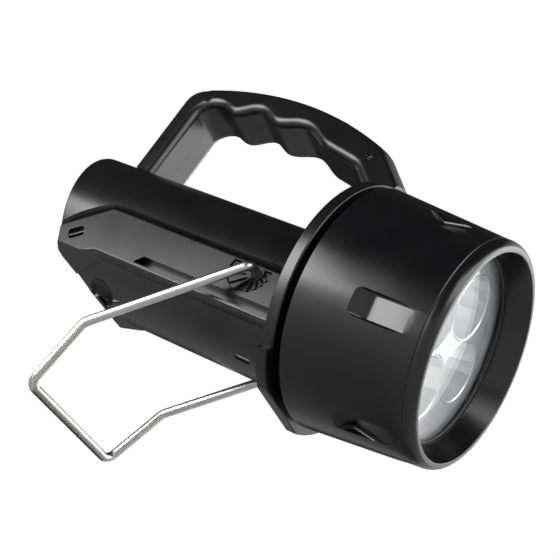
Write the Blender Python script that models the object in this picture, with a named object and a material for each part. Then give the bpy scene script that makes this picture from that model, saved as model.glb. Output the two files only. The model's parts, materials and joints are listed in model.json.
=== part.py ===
"""Explosion-proof hand lamp: body with carrying handle, screw-on head, four-cup reflector and wire stand.

The lamp is drawn in its own axes: X along the beam with zero at the head's back edge, Z up through
the handle, Y to the lamp's left. An empty then tips it onto its head rim and its stand.
"""
import math

import bmesh
import bpy
from mathutils import Matrix, Vector

mm = 0.001

# Fits shared by all pieces
gap = 0.3 * mm
overrun = 2.0 * mm
edge_round = 0.6 * mm
fine_sides = 48
round_sides = 20
small_sides = 10
corner_steps = 3

# Head cap, which screws over the neck
head_back_radius = 52.0 * mm
head_taper = 5.1 * mm
head_cone_length = 54.2 * mm
head_edge_round = 1.6 * mm
lip_length = 3.0 * mm
lip_taper = 1.6 * mm
lip_groove_width = 0.7 * mm
lip_groove_depth = 0.7 * mm
lip_width = 2.4 * mm
window_rim = 3.4 * mm
seat_depth = 10.4 * mm
head_wall = 5.0 * mm
thread_depth = 18.0 * mm
notch_count = 6
notch_turn = math.radians(109.0)
notch_start = 22.4 * mm
notch_deepest = 29.8 * mm
notch_end = 48.5 * mm
notch_width = 11.4 * mm
notch_depth = 3.6 * mm

# Lens stack
gasket_thickness = 1.3 * mm
gasket_reach = 1.0 * mm
lens_thickness = 3.2 * mm
plate_thickness = 1.6 * mm
cup_count = 4
cup_radius = 13.4 * mm
cup_throat_radius = 3.8 * mm
cup_wall = 1.0 * mm
cup_web = 0.35 * mm
cup_rings = 3
cup_sides = 12
spacer_wall = 1.5 * mm
ring_wire = 1.5 * mm
ring_sides = 6
ring_place = 13.5 * mm

# Light engine
neck_wall = 4.2 * mm
neck_length = 17.0 * mm
sink_thickness = 4.0 * mm
sink_rim = 6.9 * mm
shelf_x = -1.5 * mm
led_board_thickness = 1.6 * mm
led_board_recess = 3.0 * mm
led_side = 5.0 * mm
led_height = 0.8 * mm
led_dome_radius = 2.1 * mm
dome_steps = 3
driver_margin = 7.3 * mm
driver_thickness = 1.6 * mm
driver_post_radius = 2.6 * mm
driver_post_margin = 6.0 * mm
stud_radius = 1.5 * mm
stud_place = 6.0 * mm
coil_radius = 5.0 * mm
coil_height = 3.4 * mm
chip_side = 6.0 * mm
chip_height = 1.4 * mm
chip_offset = 13.0 * mm
screw_radius = 1.5 * mm
screw_head_radius = 2.8 * mm
screw_head_height = 1.8 * mm
screw_length = 5.5 * mm
sink_screw_count = 3
sink_screw_length = 15.0 * mm
sink_screw_margin = 3.9 * mm
led_screw_margin = 4.2 * mm
led_screw_count = 2

# Cells and their holder
cell_radius = 13.1 * mm
cell_length = 50.0 * mm
cell_cap_radius = 3.6 * mm
cell_cap_height = 1.6 * mm
cells_across = 3
cell_layers = 2
holder_rim = 0.7 * mm
holder_end = 1.6 * mm
holder_mid = 1.2 * mm
holder_rod_radius = 2.6 * mm
return_rod_radius = 1.4 * mm
contact_thickness = 0.5 * mm
spring_room = 3.4 * mm
spring_wire = 0.7 * mm
spring_outer_radius = 5.2 * mm
spring_inner_radius = 2.6 * mm
spring_turns = 2.5
spring_points_per_turn = 8
spring_sides = 4

# Body
body_wall = 3.9 * mm
body_drop = 10.2 * mm
cavity_play = 0.5 * mm
body_rear_top = -145.6 * mm
body_corner_x = -130.0 * mm
body_corner_z = -34.3 * mm
body_chamfer_end_x = -110.0 * mm
body_chamfer_end_z = -43.5 * mm
body_rear_round = 0.9 * mm
body_sides = 40
holder_front = -3.6 * mm
flange_margin = 2.3 * mm

# Collar with its flat foot
collar_front = -2.8 * mm
collar_rear = -8.1 * mm
collar_wall = 6.0 * mm
collar_foot_rise = 3.7 * mm
collar_foot_cut = 3.1 * mm
collar_foot_reach = math.radians(39.0)
collar_edge = 0.8 * mm

# Side panels
panel_plane = 33.9 * mm
panel_seat = 31.6 * mm
panel_top = -11.3 * mm
panel_bottom = -32.4 * mm
panel_peak_x = -108.5 * mm
panel_rear_x = -128.2 * mm
panel_rear_top_z = -27.8 * mm
panel_low_peak_x = -103.4 * mm
panel_heel_x = -122.3 * mm
panel_heel_z = -38.0 * mm
panel_toe_x = -119.0 * mm
panel_toe_z = -39.8 * mm
panel_reach = 42.0 * mm
groove_width = 2.8 * mm
channel_top = -26.7 * mm
channel_bottom = -30.8 * mm
channel_rear = -79.0 * mm
channel_nose = 3.5 * mm
channel_floor = 29.6 * mm
pocket_radius = 9.8 * mm
pocket_back = 3.2 * mm
pocket_flat = -12.6 * mm
strap_slot_x = -117.8 * mm
strap_slot_z = -28.3 * mm
strap_slot_length = 7.4 * mm
strap_slot_width = 5.2 * mm
strap_slot_round = 1.4 * mm
strap_slot_tilt = math.radians(38.0)
strap_slot_depth = 2.2 * mm
strap_bar_radius = 0.7 * mm
strap_bar_half = 4.3 * mm
strap_bar_depth = 1.2 * mm

# Stand of bent wire and its hubs
wire_radius = 2.0 * mm
pivot_x = -27.5 * mm
pivot_z = -15.4 * mm
leg_offset = 40.5 * mm
foot_offset = 36.3 * mm
leg_length = 71.0 * mm
foot_length = 31.8 * mm
leg_angle = math.radians(44.3)
foot_kink = math.radians(31.7)
wire_bend = 5.5 * mm
bend_steps = 4
wire_sides = 10
hub_thickness = 1.2 * mm
hub_rib_height = 0.9 * mm
hub_rib_width = 0.9 * mm
hub_rib_count = 7
hub_boss_radius = 3.6 * mm
hub_boss_height = 1.6 * mm
wire_play = 0.15 * mm
wire_tip_depth = 2.2 * mm
tip_play = 0.35 * mm

# Rear foot and lanyard eye
foot_pad_front = -93.5 * mm
foot_pad_low_x = -100.0 * mm
foot_pad_back_x = -106.5 * mm
foot_pad_rear = -113.2 * mm
foot_pad_drop = 44.5 * mm
foot_pad_half = 11.5 * mm
eye_x = -106.5 * mm
eye_half_width = 8.0 * mm
eye_length = 8.0 * mm
eye_floor = 40.9 * mm
eye_bar_drop = 43.4 * mm
eye_bar_proud = 0.3 * mm
eye_bar_radius = 1.0 * mm
front_eye_x = -26.2 * mm
front_eye_turn = math.radians(17.0)
front_eye_length = 8.0 * mm
front_eye_width = 3.0 * mm
front_eye_depth = 3.1 * mm
front_pin_radius = 1.1 * mm
front_pin_half = 4.5 * mm
front_pin_depth = 1.7 * mm

# Handle
handle_half_width = 13.5 * mm
handle_peak_x = -79.0 * mm
handle_peak_z = 83.0 * mm
handle_top_radius = 143.0 * mm
handle_crown = 3.2 * mm
crown_round = 1.0 * mm
handle_wall = 2.4 * mm
handle_rear_x = -135.4 * mm
handle_foot_z = 14.0 * mm
handle_floor_z = 28.0 * mm
handle_rear_corner = 12.0 * mm
handle_nose_x = -23.7 * mm
handle_nose_tilt = math.radians(42.4)
handle_nose_round = 9.0 * mm
handle_rear_leg = -123.0 * mm
handle_front_leg = -21.5 * mm
front_leg_bend_z = 48.5 * mm
front_throat_x = -35.6 * mm
front_throat_z = 62.8 * mm
handle_stations = 3
crown_steps = 8
straight_limit = 0.001
grip_depth = 13.9 * mm
grip_swell = 2.2 * mm
grip_wave = 2.1 * mm
grip_waves = 2.5
grip_pitch = 23.3 * mm
grip_ridge_x = -57.8 * mm
grip_round = 3.6 * mm
grip_points = 20
throat_round = 8.5 * mm
lug_neck = 3.5 * mm
lug_head = 7.0 * mm
lug_play = 1.2 * mm
lug_height = 4.0 * mm
front_lug_room = 3.4 * mm
handle_screw_rear_x = -121.4 * mm
handle_screw_rear_drop = 9.3 * mm
handle_screw_front_x = -28.1 * mm
handle_screw_front_drop = 12.4 * mm
handle_screw_hole = 1.6 * mm
handle_screw_depth = 3.0 * mm
handle_screw_shaft = 0.9 * mm
handle_screw_head = 1.4 * mm
handle_screw_reach = 8.0 * mm
handle_boss_radius = 2.4 * mm

# Switch in the front of the grip
switch_x = -52.0 * mm
bezel_radius = 7.2 * mm
bezel_wall = 1.1 * mm
bezel_top = -0.5 * mm
bezel_lip = 1.2 * mm
bezel_lip_height = 1.1 * mm
bezel_bottom = -3.9 * mm
button_travel = 1.2 * mm
button_top = 0.3 * mm
button_flange = 0.8 * mm
button_lip = 0.8 * mm
plunger_radius = 1.5 * mm
plunger_length = 3.2 * mm
micro_side = 6.6 * mm
micro_top = -6.9 * mm
micro_bottom = -10.7 * mm
micro_hole_depth = 3.2 * mm
lead_radius = 0.8 * mm
lead_hole_radius = 1.2 * mm
lead_y = 4.0 * mm
lead_z = 31.0 * mm
lead_bend = 1.8 * mm
lead_over_x = -40.0 * mm
lead_over_drop = 6.1 * mm
lead_boss_play = 1.0 * mm
lead_drop_x = -12.4 * mm
lead_turn_x = 3.6 * mm
lead_end_z = 23.0 * mm
lead_mid_z = 50.0 * mm
led_lead_place = 8.0 * mm
lead_sides = 8

# Colours: red, green, blue, roughness, metallic
finishes = {
    "black_satin": (0.012, 0.012, 0.013, 0.38, 0.0),
    "black_rubber": (0.016, 0.016, 0.017, 0.75, 0.0),
    "nickel_wire": (0.72, 0.71, 0.68, 0.22, 1.0),
    "mirror_metal": (0.86, 0.87, 0.88, 0.06, 1.0),
    "clear_lens": (0.9, 0.94, 0.95, 0.03, 0.0),
    "raw_aluminium": (0.6, 0.6, 0.62, 0.35, 1.0),
    "circuit_green": (0.02, 0.16, 0.06, 0.45, 0.0),
    "white_board": (0.8, 0.8, 0.78, 0.5, 0.0),
    "led_yellow": (0.85, 0.7, 0.12, 0.3, 0.0),
    "cell_jacket": (0.3, 0.31, 0.33, 0.35, 0.6),
    "spring_steel": (0.5, 0.5, 0.52, 0.25, 1.0),
    "lead_red": (0.45, 0.02, 0.02, 0.5, 0.0),
    "brass": (0.62, 0.42, 0.14, 0.3, 1.0),
}


def clear_scene():
    for old in list(bpy.data.objects):
        bpy.data.objects.remove(old, do_unlink=True)


def make_finish(name):
    material = bpy.data.materials.new(name)
    material.use_nodes = True
    shader = material.node_tree.nodes["Principled BSDF"]
    red, green, blue, roughness, metallic = finishes[name]
    shader.inputs["Base Color"].default_value = (red, green, blue, 1.0)
    shader.inputs["Roughness"].default_value = roughness
    shader.inputs["Metallic"].default_value = metallic
    return material


clear_scene()
materials = {name: make_finish(name) for name in finishes}
lamp = bpy.data.objects.new("lamp_axes", None)
bpy.context.collection.objects.link(lamp)


def add_object(name, mesh_data, finish, origin=Vector()):
    """Turns a bmesh drawn in the lamp's axes into an object whose own origin is at the given point."""
    bmesh.ops.remove_doubles(mesh_data, verts=mesh_data.verts, dist=mm * 0.001)
    bmesh.ops.recalc_face_normals(mesh_data, faces=mesh_data.faces)
    bmesh.ops.translate(mesh_data, verts=mesh_data.verts, vec=-Vector(origin))
    mesh = bpy.data.meshes.new(name)
    mesh_data.to_mesh(mesh)
    mesh_data.free()
    mesh.materials.append(materials[finish])
    mesh.shade_smooth()
    mesh.set_sharp_from_angle(angle=math.radians(32.0))
    piece = bpy.data.objects.new(name, mesh)
    bpy.context.collection.objects.link(piece)
    piece.parent = lamp
    piece.location = origin
    return piece


def add_cutter(name, mesh_data):
    cutter = add_object(name, mesh_data, "black_satin")
    cutter.hide_render = True
    cutter.display_type = "WIRE"
    return cutter


def boolean(piece, cutter, operation="DIFFERENCE"):
    modifier = piece.modifiers.new(cutter.name, "BOOLEAN")
    modifier.operation = operation
    modifier.solver = "EXACT"
    modifier.object = cutter


def bridge(mesh_data, rings, closed=True, capped=True):
    """Faces between neighbouring rings of vertices; an open row of rings gets end faces."""
    count = len(rings[0])
    pairs = list(zip(rings, rings[1:]))
    if closed:
        pairs.append((rings[-1], rings[0]))
    for first, second in pairs:
        for index in range(count):
            after = (index + 1) % count
            corners = [first[index], first[after], second[after], second[index]]
            if second[index] is second[after]:
                corners = corners[:3]
            mesh_data.faces.new(corners)
    if not closed:
        mesh_data.faces.new(rings[0])
    if not closed and capped:
        mesh_data.faces.new(rings[-1])


def lathe(outline, sides, centre_y=0.0, centre_z=0.0, mesh_data=None):
    """Turns an outline of (x, radius) points about an axis along X; one that starts and ends on the axis is capped."""
    mesh_data = mesh_data or bmesh.new()
    solid = outline[0][1] == 0.0
    domed = outline[-1][0] != outline[-2][0]
    rings = []
    turn = math.pi / sides if sides == small_sides else 0.0
    for x, radius in (outline[1:-1] if solid else outline):
        ring = []
        for index in range(sides):
            angle = turn + math.tau * index / sides
            y = centre_y + radius * math.sin(angle)
            z = centre_z + radius * math.cos(angle)
            ring.append(mesh_data.verts.new((x, y, z)))
        rings.append(ring)
    if solid and domed:
        rings.append([mesh_data.verts.new((outline[-1][0], centre_y, centre_z))] * sides)
    bridge(mesh_data, rings, closed=not solid, capped=not domed)
    return mesh_data


def rounded(x_low, x_high, radius, edge, inner=0.0):
    """Outline of a disc or ring with its outer corners rounded off by a small chamfer."""
    outline = [(x_low, inner), (x_low, radius - edge), (x_low + edge, radius)]
    outline += [(x_high - edge, radius), (x_high, radius - edge), (x_high, inner)]
    return outline


def prism(points, low, high, axis="Y", mesh_data=None, place=Matrix.Identity(3)):
    """Extrudes a closed outline: (x, z) points along Y, or (y, z) points along X."""
    mesh_data = mesh_data or bmesh.new()
    rings = []
    for level in (low, high):
        ring = []
        for first, second in points:
            corner = (first, level, second) if axis == "Y" else (level, first, second)
            ring.append(mesh_data.verts.new(place @ Vector(corner)))
        rings.append(ring)
    bridge(mesh_data, rings, closed=False)
    return mesh_data


def block(low, high, mesh_data=None):
    outline = [(low[0], low[2]), (high[0], low[2]), (high[0], high[2]), (low[0], high[2])]
    return prism(outline, low[1], high[1], mesh_data=mesh_data)


def arc_points(centre, radius, start, stop, steps):
    points = []
    for index in range(steps + 1):
        angle = start + (stop - start) * index / steps
        points.append((centre[0] + radius * math.cos(angle), centre[1] + radius * math.sin(angle)))
    return points


def round_corner(before, corner, after, radius, steps):
    """Points of the arc that takes the corner off a path."""
    before, corner, after = Vector(before), Vector(corner), Vector(after)
    first = (before - corner).normalized()
    second = (after - corner).normalized()
    half = first.angle(second) / 2.0
    reach = radius / math.tan(half)
    centre = corner + (first + second).normalized() * radius / math.sin(half)
    start = corner + first * reach - centre
    sweep = math.pi - 2.0 * half
    side = (corner + second * reach - centre)
    points = []
    for index in range(steps + 1):
        part = sweep * index / steps
        points.append(centre + (start * math.sin(sweep - part) + side * math.sin(part)) / math.sin(sweep))
    return points


def bend_path(corners, radius, steps):
    path = [Vector(corners[0])]
    for before, corner, after in zip(corners, corners[1:], corners[2:]):
        path += round_corner(before, corner, after, radius, steps)
    path.append(Vector(corners[-1]))
    return path


def tube(path, radius, sides, mesh_data=None):
    """Sweeps a circle along a path, with closed ends."""
    mesh_data = mesh_data or bmesh.new()
    rings = []
    side = None
    for index, point in enumerate(path):
        ahead = (path[min(index + 1, len(path) - 1)] - path[max(index - 1, 0)]).normalized()
        if side is None:
            side = ahead.orthogonal().normalized()
        side = (side - ahead * side.dot(ahead)).normalized()
        up = ahead.cross(side)
        ring = []
        for step in range(sides):
            angle = math.tau * step / sides
            ring.append(mesh_data.verts.new(point + (side * math.cos(angle) + up * math.sin(angle)) * radius))
        rings.append(ring)
    bridge(mesh_data, rings, closed=False)
    return mesh_data


def mirror_y(points):
    return [Vector((point[0], -point[1], point[2])) for point in points]


def polar(radius, angle):
    """Point of the YZ plane at an angle from straight up, turning towards the lamp's right."""
    return -radius * math.sin(angle), radius * math.cos(angle)


# Sizes worked out from the values above
head_front_radius = head_back_radius - head_taper
lip_outer_radius = head_front_radius - lip_taper
lip_inner_radius = lip_outer_radius - lip_width
window_radius = lip_inner_radius - window_rim
lip_front = head_cone_length + lip_length
seat_x = lip_front - seat_depth
chamber_radius = head_front_radius - head_wall
lens_radius = chamber_radius - gap
gasket_front = seat_x - gap
lens_front = gasket_front - gasket_thickness - gap
plate_front = lens_front - lens_thickness - gap
neck_bore = chamber_radius - neck_wall + head_wall / 2.0
neck_radius = neck_bore + neck_wall
cap_bore = neck_radius + gap
sink_screw_place = neck_bore - sink_screw_margin
led_board_radius = sink_screw_place - screw_head_radius - gap
led_screw_place = led_board_radius - led_screw_margin
driver_radius = neck_bore - sink_rim - driver_margin
driver_post_place = driver_radius - driver_post_margin
cup_ring_radius = (cup_radius + cup_web / 2.0) / math.sin(math.pi / cup_count)
led_board_front = neck_length - led_board_recess
led_board_back = led_board_front - led_board_thickness
sink_front = led_board_back - gap
sink_back = sink_front - sink_thickness
driver_back = shelf_x + 2.0 * gap
driver_front = driver_back + driver_thickness
cell_ring_radius = (cell_radius + gap / 2.0) / math.sin(math.pi / cells_across)
holder_radius = cell_ring_radius + cell_radius + holder_rim
cavity_radius = holder_radius + cavity_play
body_radius = cavity_radius + body_wall
flange_radius = body_radius + body_drop + flange_margin
collar_radius = flange_radius + gap + collar_wall
collar_foot_radius = collar_radius + collar_foot_rise
collar_flat_drop = collar_foot_radius - collar_foot_cut
front_plate_back = holder_front - holder_end - gap - contact_thickness
front_cell_front = front_plate_back - gap
front_cell_back = front_cell_front - cell_length
rear_cell_front = front_cell_back - gap
rear_cell_back = rear_cell_front - cell_length
spring_back = rear_cell_back - gap - spring_room
rear_plate_back = spring_back - gap - contact_thickness
holder_rear = rear_plate_back - gap - holder_end
cavity_rear = holder_rear - cavity_play
handle_centre_z = handle_peak_z - handle_top_radius
grip_rear_x = grip_ridge_x - grip_waves * grip_pitch
pivot = Vector((pivot_x, 0.0, pivot_z))
flange_rear = collar_rear
body_shift = Vector((0.0, 0.0, -body_drop))
foot_pad_root = body_drop + body_radius - 3.0 * edge_round
rear_lug_low = handle_rear_x + handle_wall + lug_play
rear_lug_high = handle_rear_leg - handle_wall - lug_play
front_lug_low = handle_front_leg + handle_wall + lug_play
front_lug_high = flange_rear - gap - handle_wall - front_lug_room
lug_root = body_radius - body_drop - body_wall / 2.0
eye_bar_half = foot_pad_half + eye_bar_proud
wire_tip = panel_seat - wire_tip_depth + wire_radius / 2.0


def rear_x(z):
    """The body's rear end in side view: a leaning face above, a long chamfer below."""
    top_z = body_radius - body_drop
    if z >= body_corner_z:
        share = (z - body_corner_z) / (top_z - body_corner_z)
        return body_corner_x + (body_rear_top - body_corner_x) * share
    share = (body_corner_z - z) / (body_corner_z - body_chamfer_end_z)
    return body_corner_x + (body_chamfer_end_x - body_corner_x) * share


def body_shell():
    """Round body prism whose rear end leans and is chamfered below, with a rounded rim."""
    mesh_data = bmesh.new()
    stations = []
    shrink = 1.0 - body_rear_round / body_radius
    for scale, shift in ((shrink, 0.0), (1.0, body_rear_round), (1.0, None)):
        ring = []
        for index in range(body_sides):
            angle = math.tau * index / body_sides
            full_z = body_radius * math.cos(angle) - body_drop
            y = body_radius * scale * math.sin(angle)
            z = body_radius * scale * math.cos(angle) - body_drop
            x = flange_rear + overrun if shift is None else rear_x(full_z) + shift
            ring.append(mesh_data.verts.new((x, y, z)))
        stations.append(ring)
    bridge(mesh_data, stations, closed=False)
    end_cap = [face for face in mesh_data.faces if len(face.verts) == body_sides]
    bmesh.ops.delete(mesh_data, geom=end_cap, context="FACES_ONLY")
    mesh_data.faces.new(stations[-1])
    first = stations[0]
    half = body_sides // 2
    for index in range(half):
        left, right = first[index], first[-index % body_sides]
        next_left, next_right = first[index + 1], first[-(index + 1) % body_sides]
        corners = []
        for corner in (left, right, next_right, next_left):
            if corner not in corners:
                corners.append(corner)
        mesh_data.faces.new(corners)
    return mesh_data


def panel_outline(lift=0.0, front=flange_rear - gap):
    """Outline of a side panel; a lift moves its two upper edges outwards."""
    slope = math.atan2(panel_top - panel_rear_top_z, panel_peak_x - panel_rear_x)
    return [
        (panel_rear_x - lift, panel_rear_top_z + lift),
        (panel_peak_x - lift * math.tan(slope / 2.0), panel_top + lift),
        (front, panel_top + lift),
        (front, panel_bottom),
        (panel_low_peak_x, panel_bottom),
        (panel_toe_x, panel_toe_z),
        (panel_heel_x, panel_heel_z),
    ]


def seat_outline(front):
    """Outline of the body's flat for a panel: the panel's top edge raised by the groove."""
    top = panel_outline(groove_width, front)[:3]
    low = panel_toe_z - groove_width
    return top + [(front, panel_bottom - groove_width), (rear_x(panel_heel_z) - overrun, low)]


def pocket_outline(radius, flat):
    """Outline of the pivot pocket: a round end cut off flat on top."""
    centre = (pivot_x - pocket_back, pivot_z)
    rise = math.asin((flat - pivot_z) / radius)
    return arc_points(centre, radius, rise, -math.pi - rise, round_sides)


def slot_outline(centre, length, width, tilt, corner):
    """Outline of a slot with rounded corners."""
    along = Vector((math.cos(tilt), math.sin(tilt)))
    across = Vector((-along.y, along.x))
    points = []
    for turn, (ahead, aside) in enumerate(((1.0, -1.0), (1.0, 1.0), (-1.0, 1.0), (-1.0, -1.0))):
        middle = Vector(centre) + along * ahead * (length / 2.0 - corner) + across * aside * (width / 2.0 - corner)
        start = tilt + math.pi / 2.0 * (turn - 1)
        points += arc_points(middle, corner, start, start + math.pi / 2.0, corner_steps)
    return points


def cone_at(x):
    """Radius of the head's tapering side."""
    return head_back_radius + (head_front_radius - head_back_radius) * x / head_cone_length


def eye_turn(sign):
    """Turns a shape drawn along +Y about the body's axis until it points down and to one side."""
    return Matrix.Rotation(-math.pi / 2.0 + sign * front_eye_turn, 3, "X")


def pin_shape(radius, half, sign):
    """Short pin that lies along one of the two strap eyes under the body's front."""
    depth = body_radius - front_pin_depth
    ends = [Vector((front_eye_x - half, depth, 0.0)), Vector((front_eye_x + half, depth, 0.0))]
    path = [eye_turn(sign) @ end + body_shift for end in ends]
    return tube(path, radius, small_sides)


# Housing
housing = add_object("housing", body_shell(), "black_satin")
ring_floor = neck_radius - ring_wire
ring_back = ring_place - ring_wire / 2.0 - gap
ring_ahead = ring_place + ring_wire / 2.0 + gap
neck_outline = [(flange_rear, 0.0), (flange_rear, flange_radius), (-edge_round, flange_radius)]
neck_outline += [(-edge_round, neck_radius), (ring_back, neck_radius), (ring_back, ring_floor)]
neck_outline += [(ring_ahead, ring_floor), (ring_ahead, neck_radius), (neck_length, neck_radius), (neck_length, 0.0)]
boolean(housing, add_cutter("neck_form", lathe(neck_outline, fine_sides)), "UNION")
bump = [(foot_pad_front, -foot_pad_root), (foot_pad_low_x, -foot_pad_drop), (foot_pad_back_x, -foot_pad_drop)]
bump += [(foot_pad_rear, -foot_pad_root), (foot_pad_rear, -foot_pad_root + overrun), (foot_pad_front, -foot_pad_root + overrun)]
bump_form = prism(bump, -foot_pad_half, foot_pad_half)
boolean(housing, add_cutter("rear_foot_form", bump_form), "UNION")
for name, low, high in (("rear", rear_lug_low, rear_lug_high), ("front", front_lug_low, front_lug_high)):
    stem = block((low, -lug_neck, lug_root), (high, lug_neck, handle_floor_z + gap))
    boolean(housing, add_cutter("lug_neck_" + name, stem), "UNION")
    head = block((low, -lug_head, handle_floor_z + gap), (high, lug_head, handle_floor_z + gap + lug_height))
    boolean(housing, add_cutter("lug_head_" + name, head), "UNION")
cavity_outline = [(cavity_rear, 0.0), (cavity_rear, cavity_radius), (0.0, cavity_radius), (0.0, 0.0)]
cavity = add_cutter("cavity_form", lathe(cavity_outline, body_sides, centre_z=-body_drop))
boolean(housing, cavity)
bore_outline = [(shelf_x, 0.0), (shelf_x, neck_bore), (neck_length + overrun, neck_bore), (neck_length + overrun, 0.0)]
boolean(housing, add_cutter("neck_bore_form", lathe(bore_outline, fine_sides)))
eye = block((eye_x - eye_length / 2.0, -eye_half_width, -body_drop - body_radius * 2.0),
            (eye_x + eye_length / 2.0, eye_half_width, -eye_floor))
boolean(housing, add_cutter("lanyard_eye_form", eye))
bar_hole = arc_points((eye_x, -eye_bar_drop), eye_bar_radius + wire_play, 0.0, math.tau, small_sides)[:-1]
boolean(housing, add_cutter("lanyard_bar_hole", prism(bar_hole, -eye_bar_half - gap, eye_bar_half + gap)))
for index in range(sink_screw_count):
    across, up = polar(sink_screw_place, math.tau * index / sink_screw_count)
    hole = [(sink_front - sink_screw_length - gap, 0.0), (sink_front - sink_screw_length - gap, screw_radius + wire_play)]
    hole += [(sink_front, screw_radius + wire_play), (sink_front, 0.0)]
    boolean(housing, add_cutter("shelf_hole_%d" % index, lathe(hole, small_sides, across, up)))
lead_hole = [(flange_rear - overrun, 0.0), (flange_rear - overrun, lead_hole_radius)]
lead_hole += [(shelf_x + overrun, lead_hole_radius), (shelf_x + overrun, 0.0)]
boolean(housing, add_cutter("lead_hole_form", lathe(lead_hole, small_sides, lead_y, lead_z)))
for side, sign in (("right", -1.0), ("left", 1.0)):
    outside = body_radius + overrun
    seat = prism(seat_outline(flange_rear), sign * panel_seat, sign * outside)
    boolean(housing, add_cutter("panel_seat_" + side, seat))
    tip = arc_points((pivot_x, pivot_z), wire_radius + wire_play, 0.0, math.tau, wire_sides)[:-1]
    socket = prism(tip, sign * (wire_tip - tip_play), sign * outside)
    boolean(housing, add_cutter("wire_socket_" + side, socket))
    slot = slot_outline((front_eye_x, 0.0), front_eye_length, front_eye_width, 0.0, front_eye_width / 2.0 - gap / 2.0)
    slot_form = prism([(x, y) for x, y in slot], body_radius - front_eye_depth, body_radius + overrun)
    bmesh.ops.rotate(slot_form, verts=slot_form.verts, matrix=eye_turn(sign))
    bmesh.ops.translate(slot_form, verts=slot_form.verts, vec=body_shift)
    boolean(housing, add_cutter("front_eye_" + side, slot_form))
    pin_hole = pin_shape(front_pin_radius + wire_play, front_pin_half + gap, sign)
    boolean(housing, add_cutter("front_pin_hole_" + side, pin_hole))
lanyard = arc_points((eye_x, -eye_bar_drop), eye_bar_radius, 0.0, math.tau, small_sides)[:-1]
add_object("lanyard_bar", prism(lanyard, -eye_bar_half, eye_bar_half), "nickel_wire")
for side, sign in (("right", -1.0), ("left", 1.0)):
    add_object("front_pin_" + side, pin_shape(front_pin_radius, front_pin_half, sign), "nickel_wire")

# Collar
foot_steps = 10
half_flat = math.sqrt(collar_foot_radius ** 2 - collar_flat_drop ** 2)
collar_outer = []
top_sweep = math.pi - collar_foot_reach
for index in range(fine_sides + 1):
    angle = -top_sweep + 2.0 * top_sweep * index / fine_sides
    collar_outer.append((collar_radius * math.sin(angle), collar_radius * math.cos(angle)))
foot_start = collar_foot_reach
foot_stop = math.asin(half_flat / collar_foot_radius)
for index in range(foot_steps + 1):
    angle = foot_start + (foot_stop - foot_start) * index / foot_steps
    collar_outer.append((collar_foot_radius * math.sin(angle), -collar_foot_radius * math.cos(angle)))
for index in range(foot_steps + 1):
    angle = foot_stop + (foot_start - foot_stop) * index / foot_steps
    collar_outer.append((-collar_foot_radius * math.sin(angle), -collar_foot_radius * math.cos(angle)))
collar = add_object("collar", prism(collar_outer, collar_rear, collar_front, axis="X"), "black_satin")
collar_bore = [(collar_rear - overrun, 0.0), (collar_rear - overrun, flange_radius + gap)]
collar_bore += [(collar_front + overrun, flange_radius + gap), (collar_front + overrun, 0.0)]
boolean(collar, add_cutter("collar_bore_form", lathe(collar_bore, fine_sides)))

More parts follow.
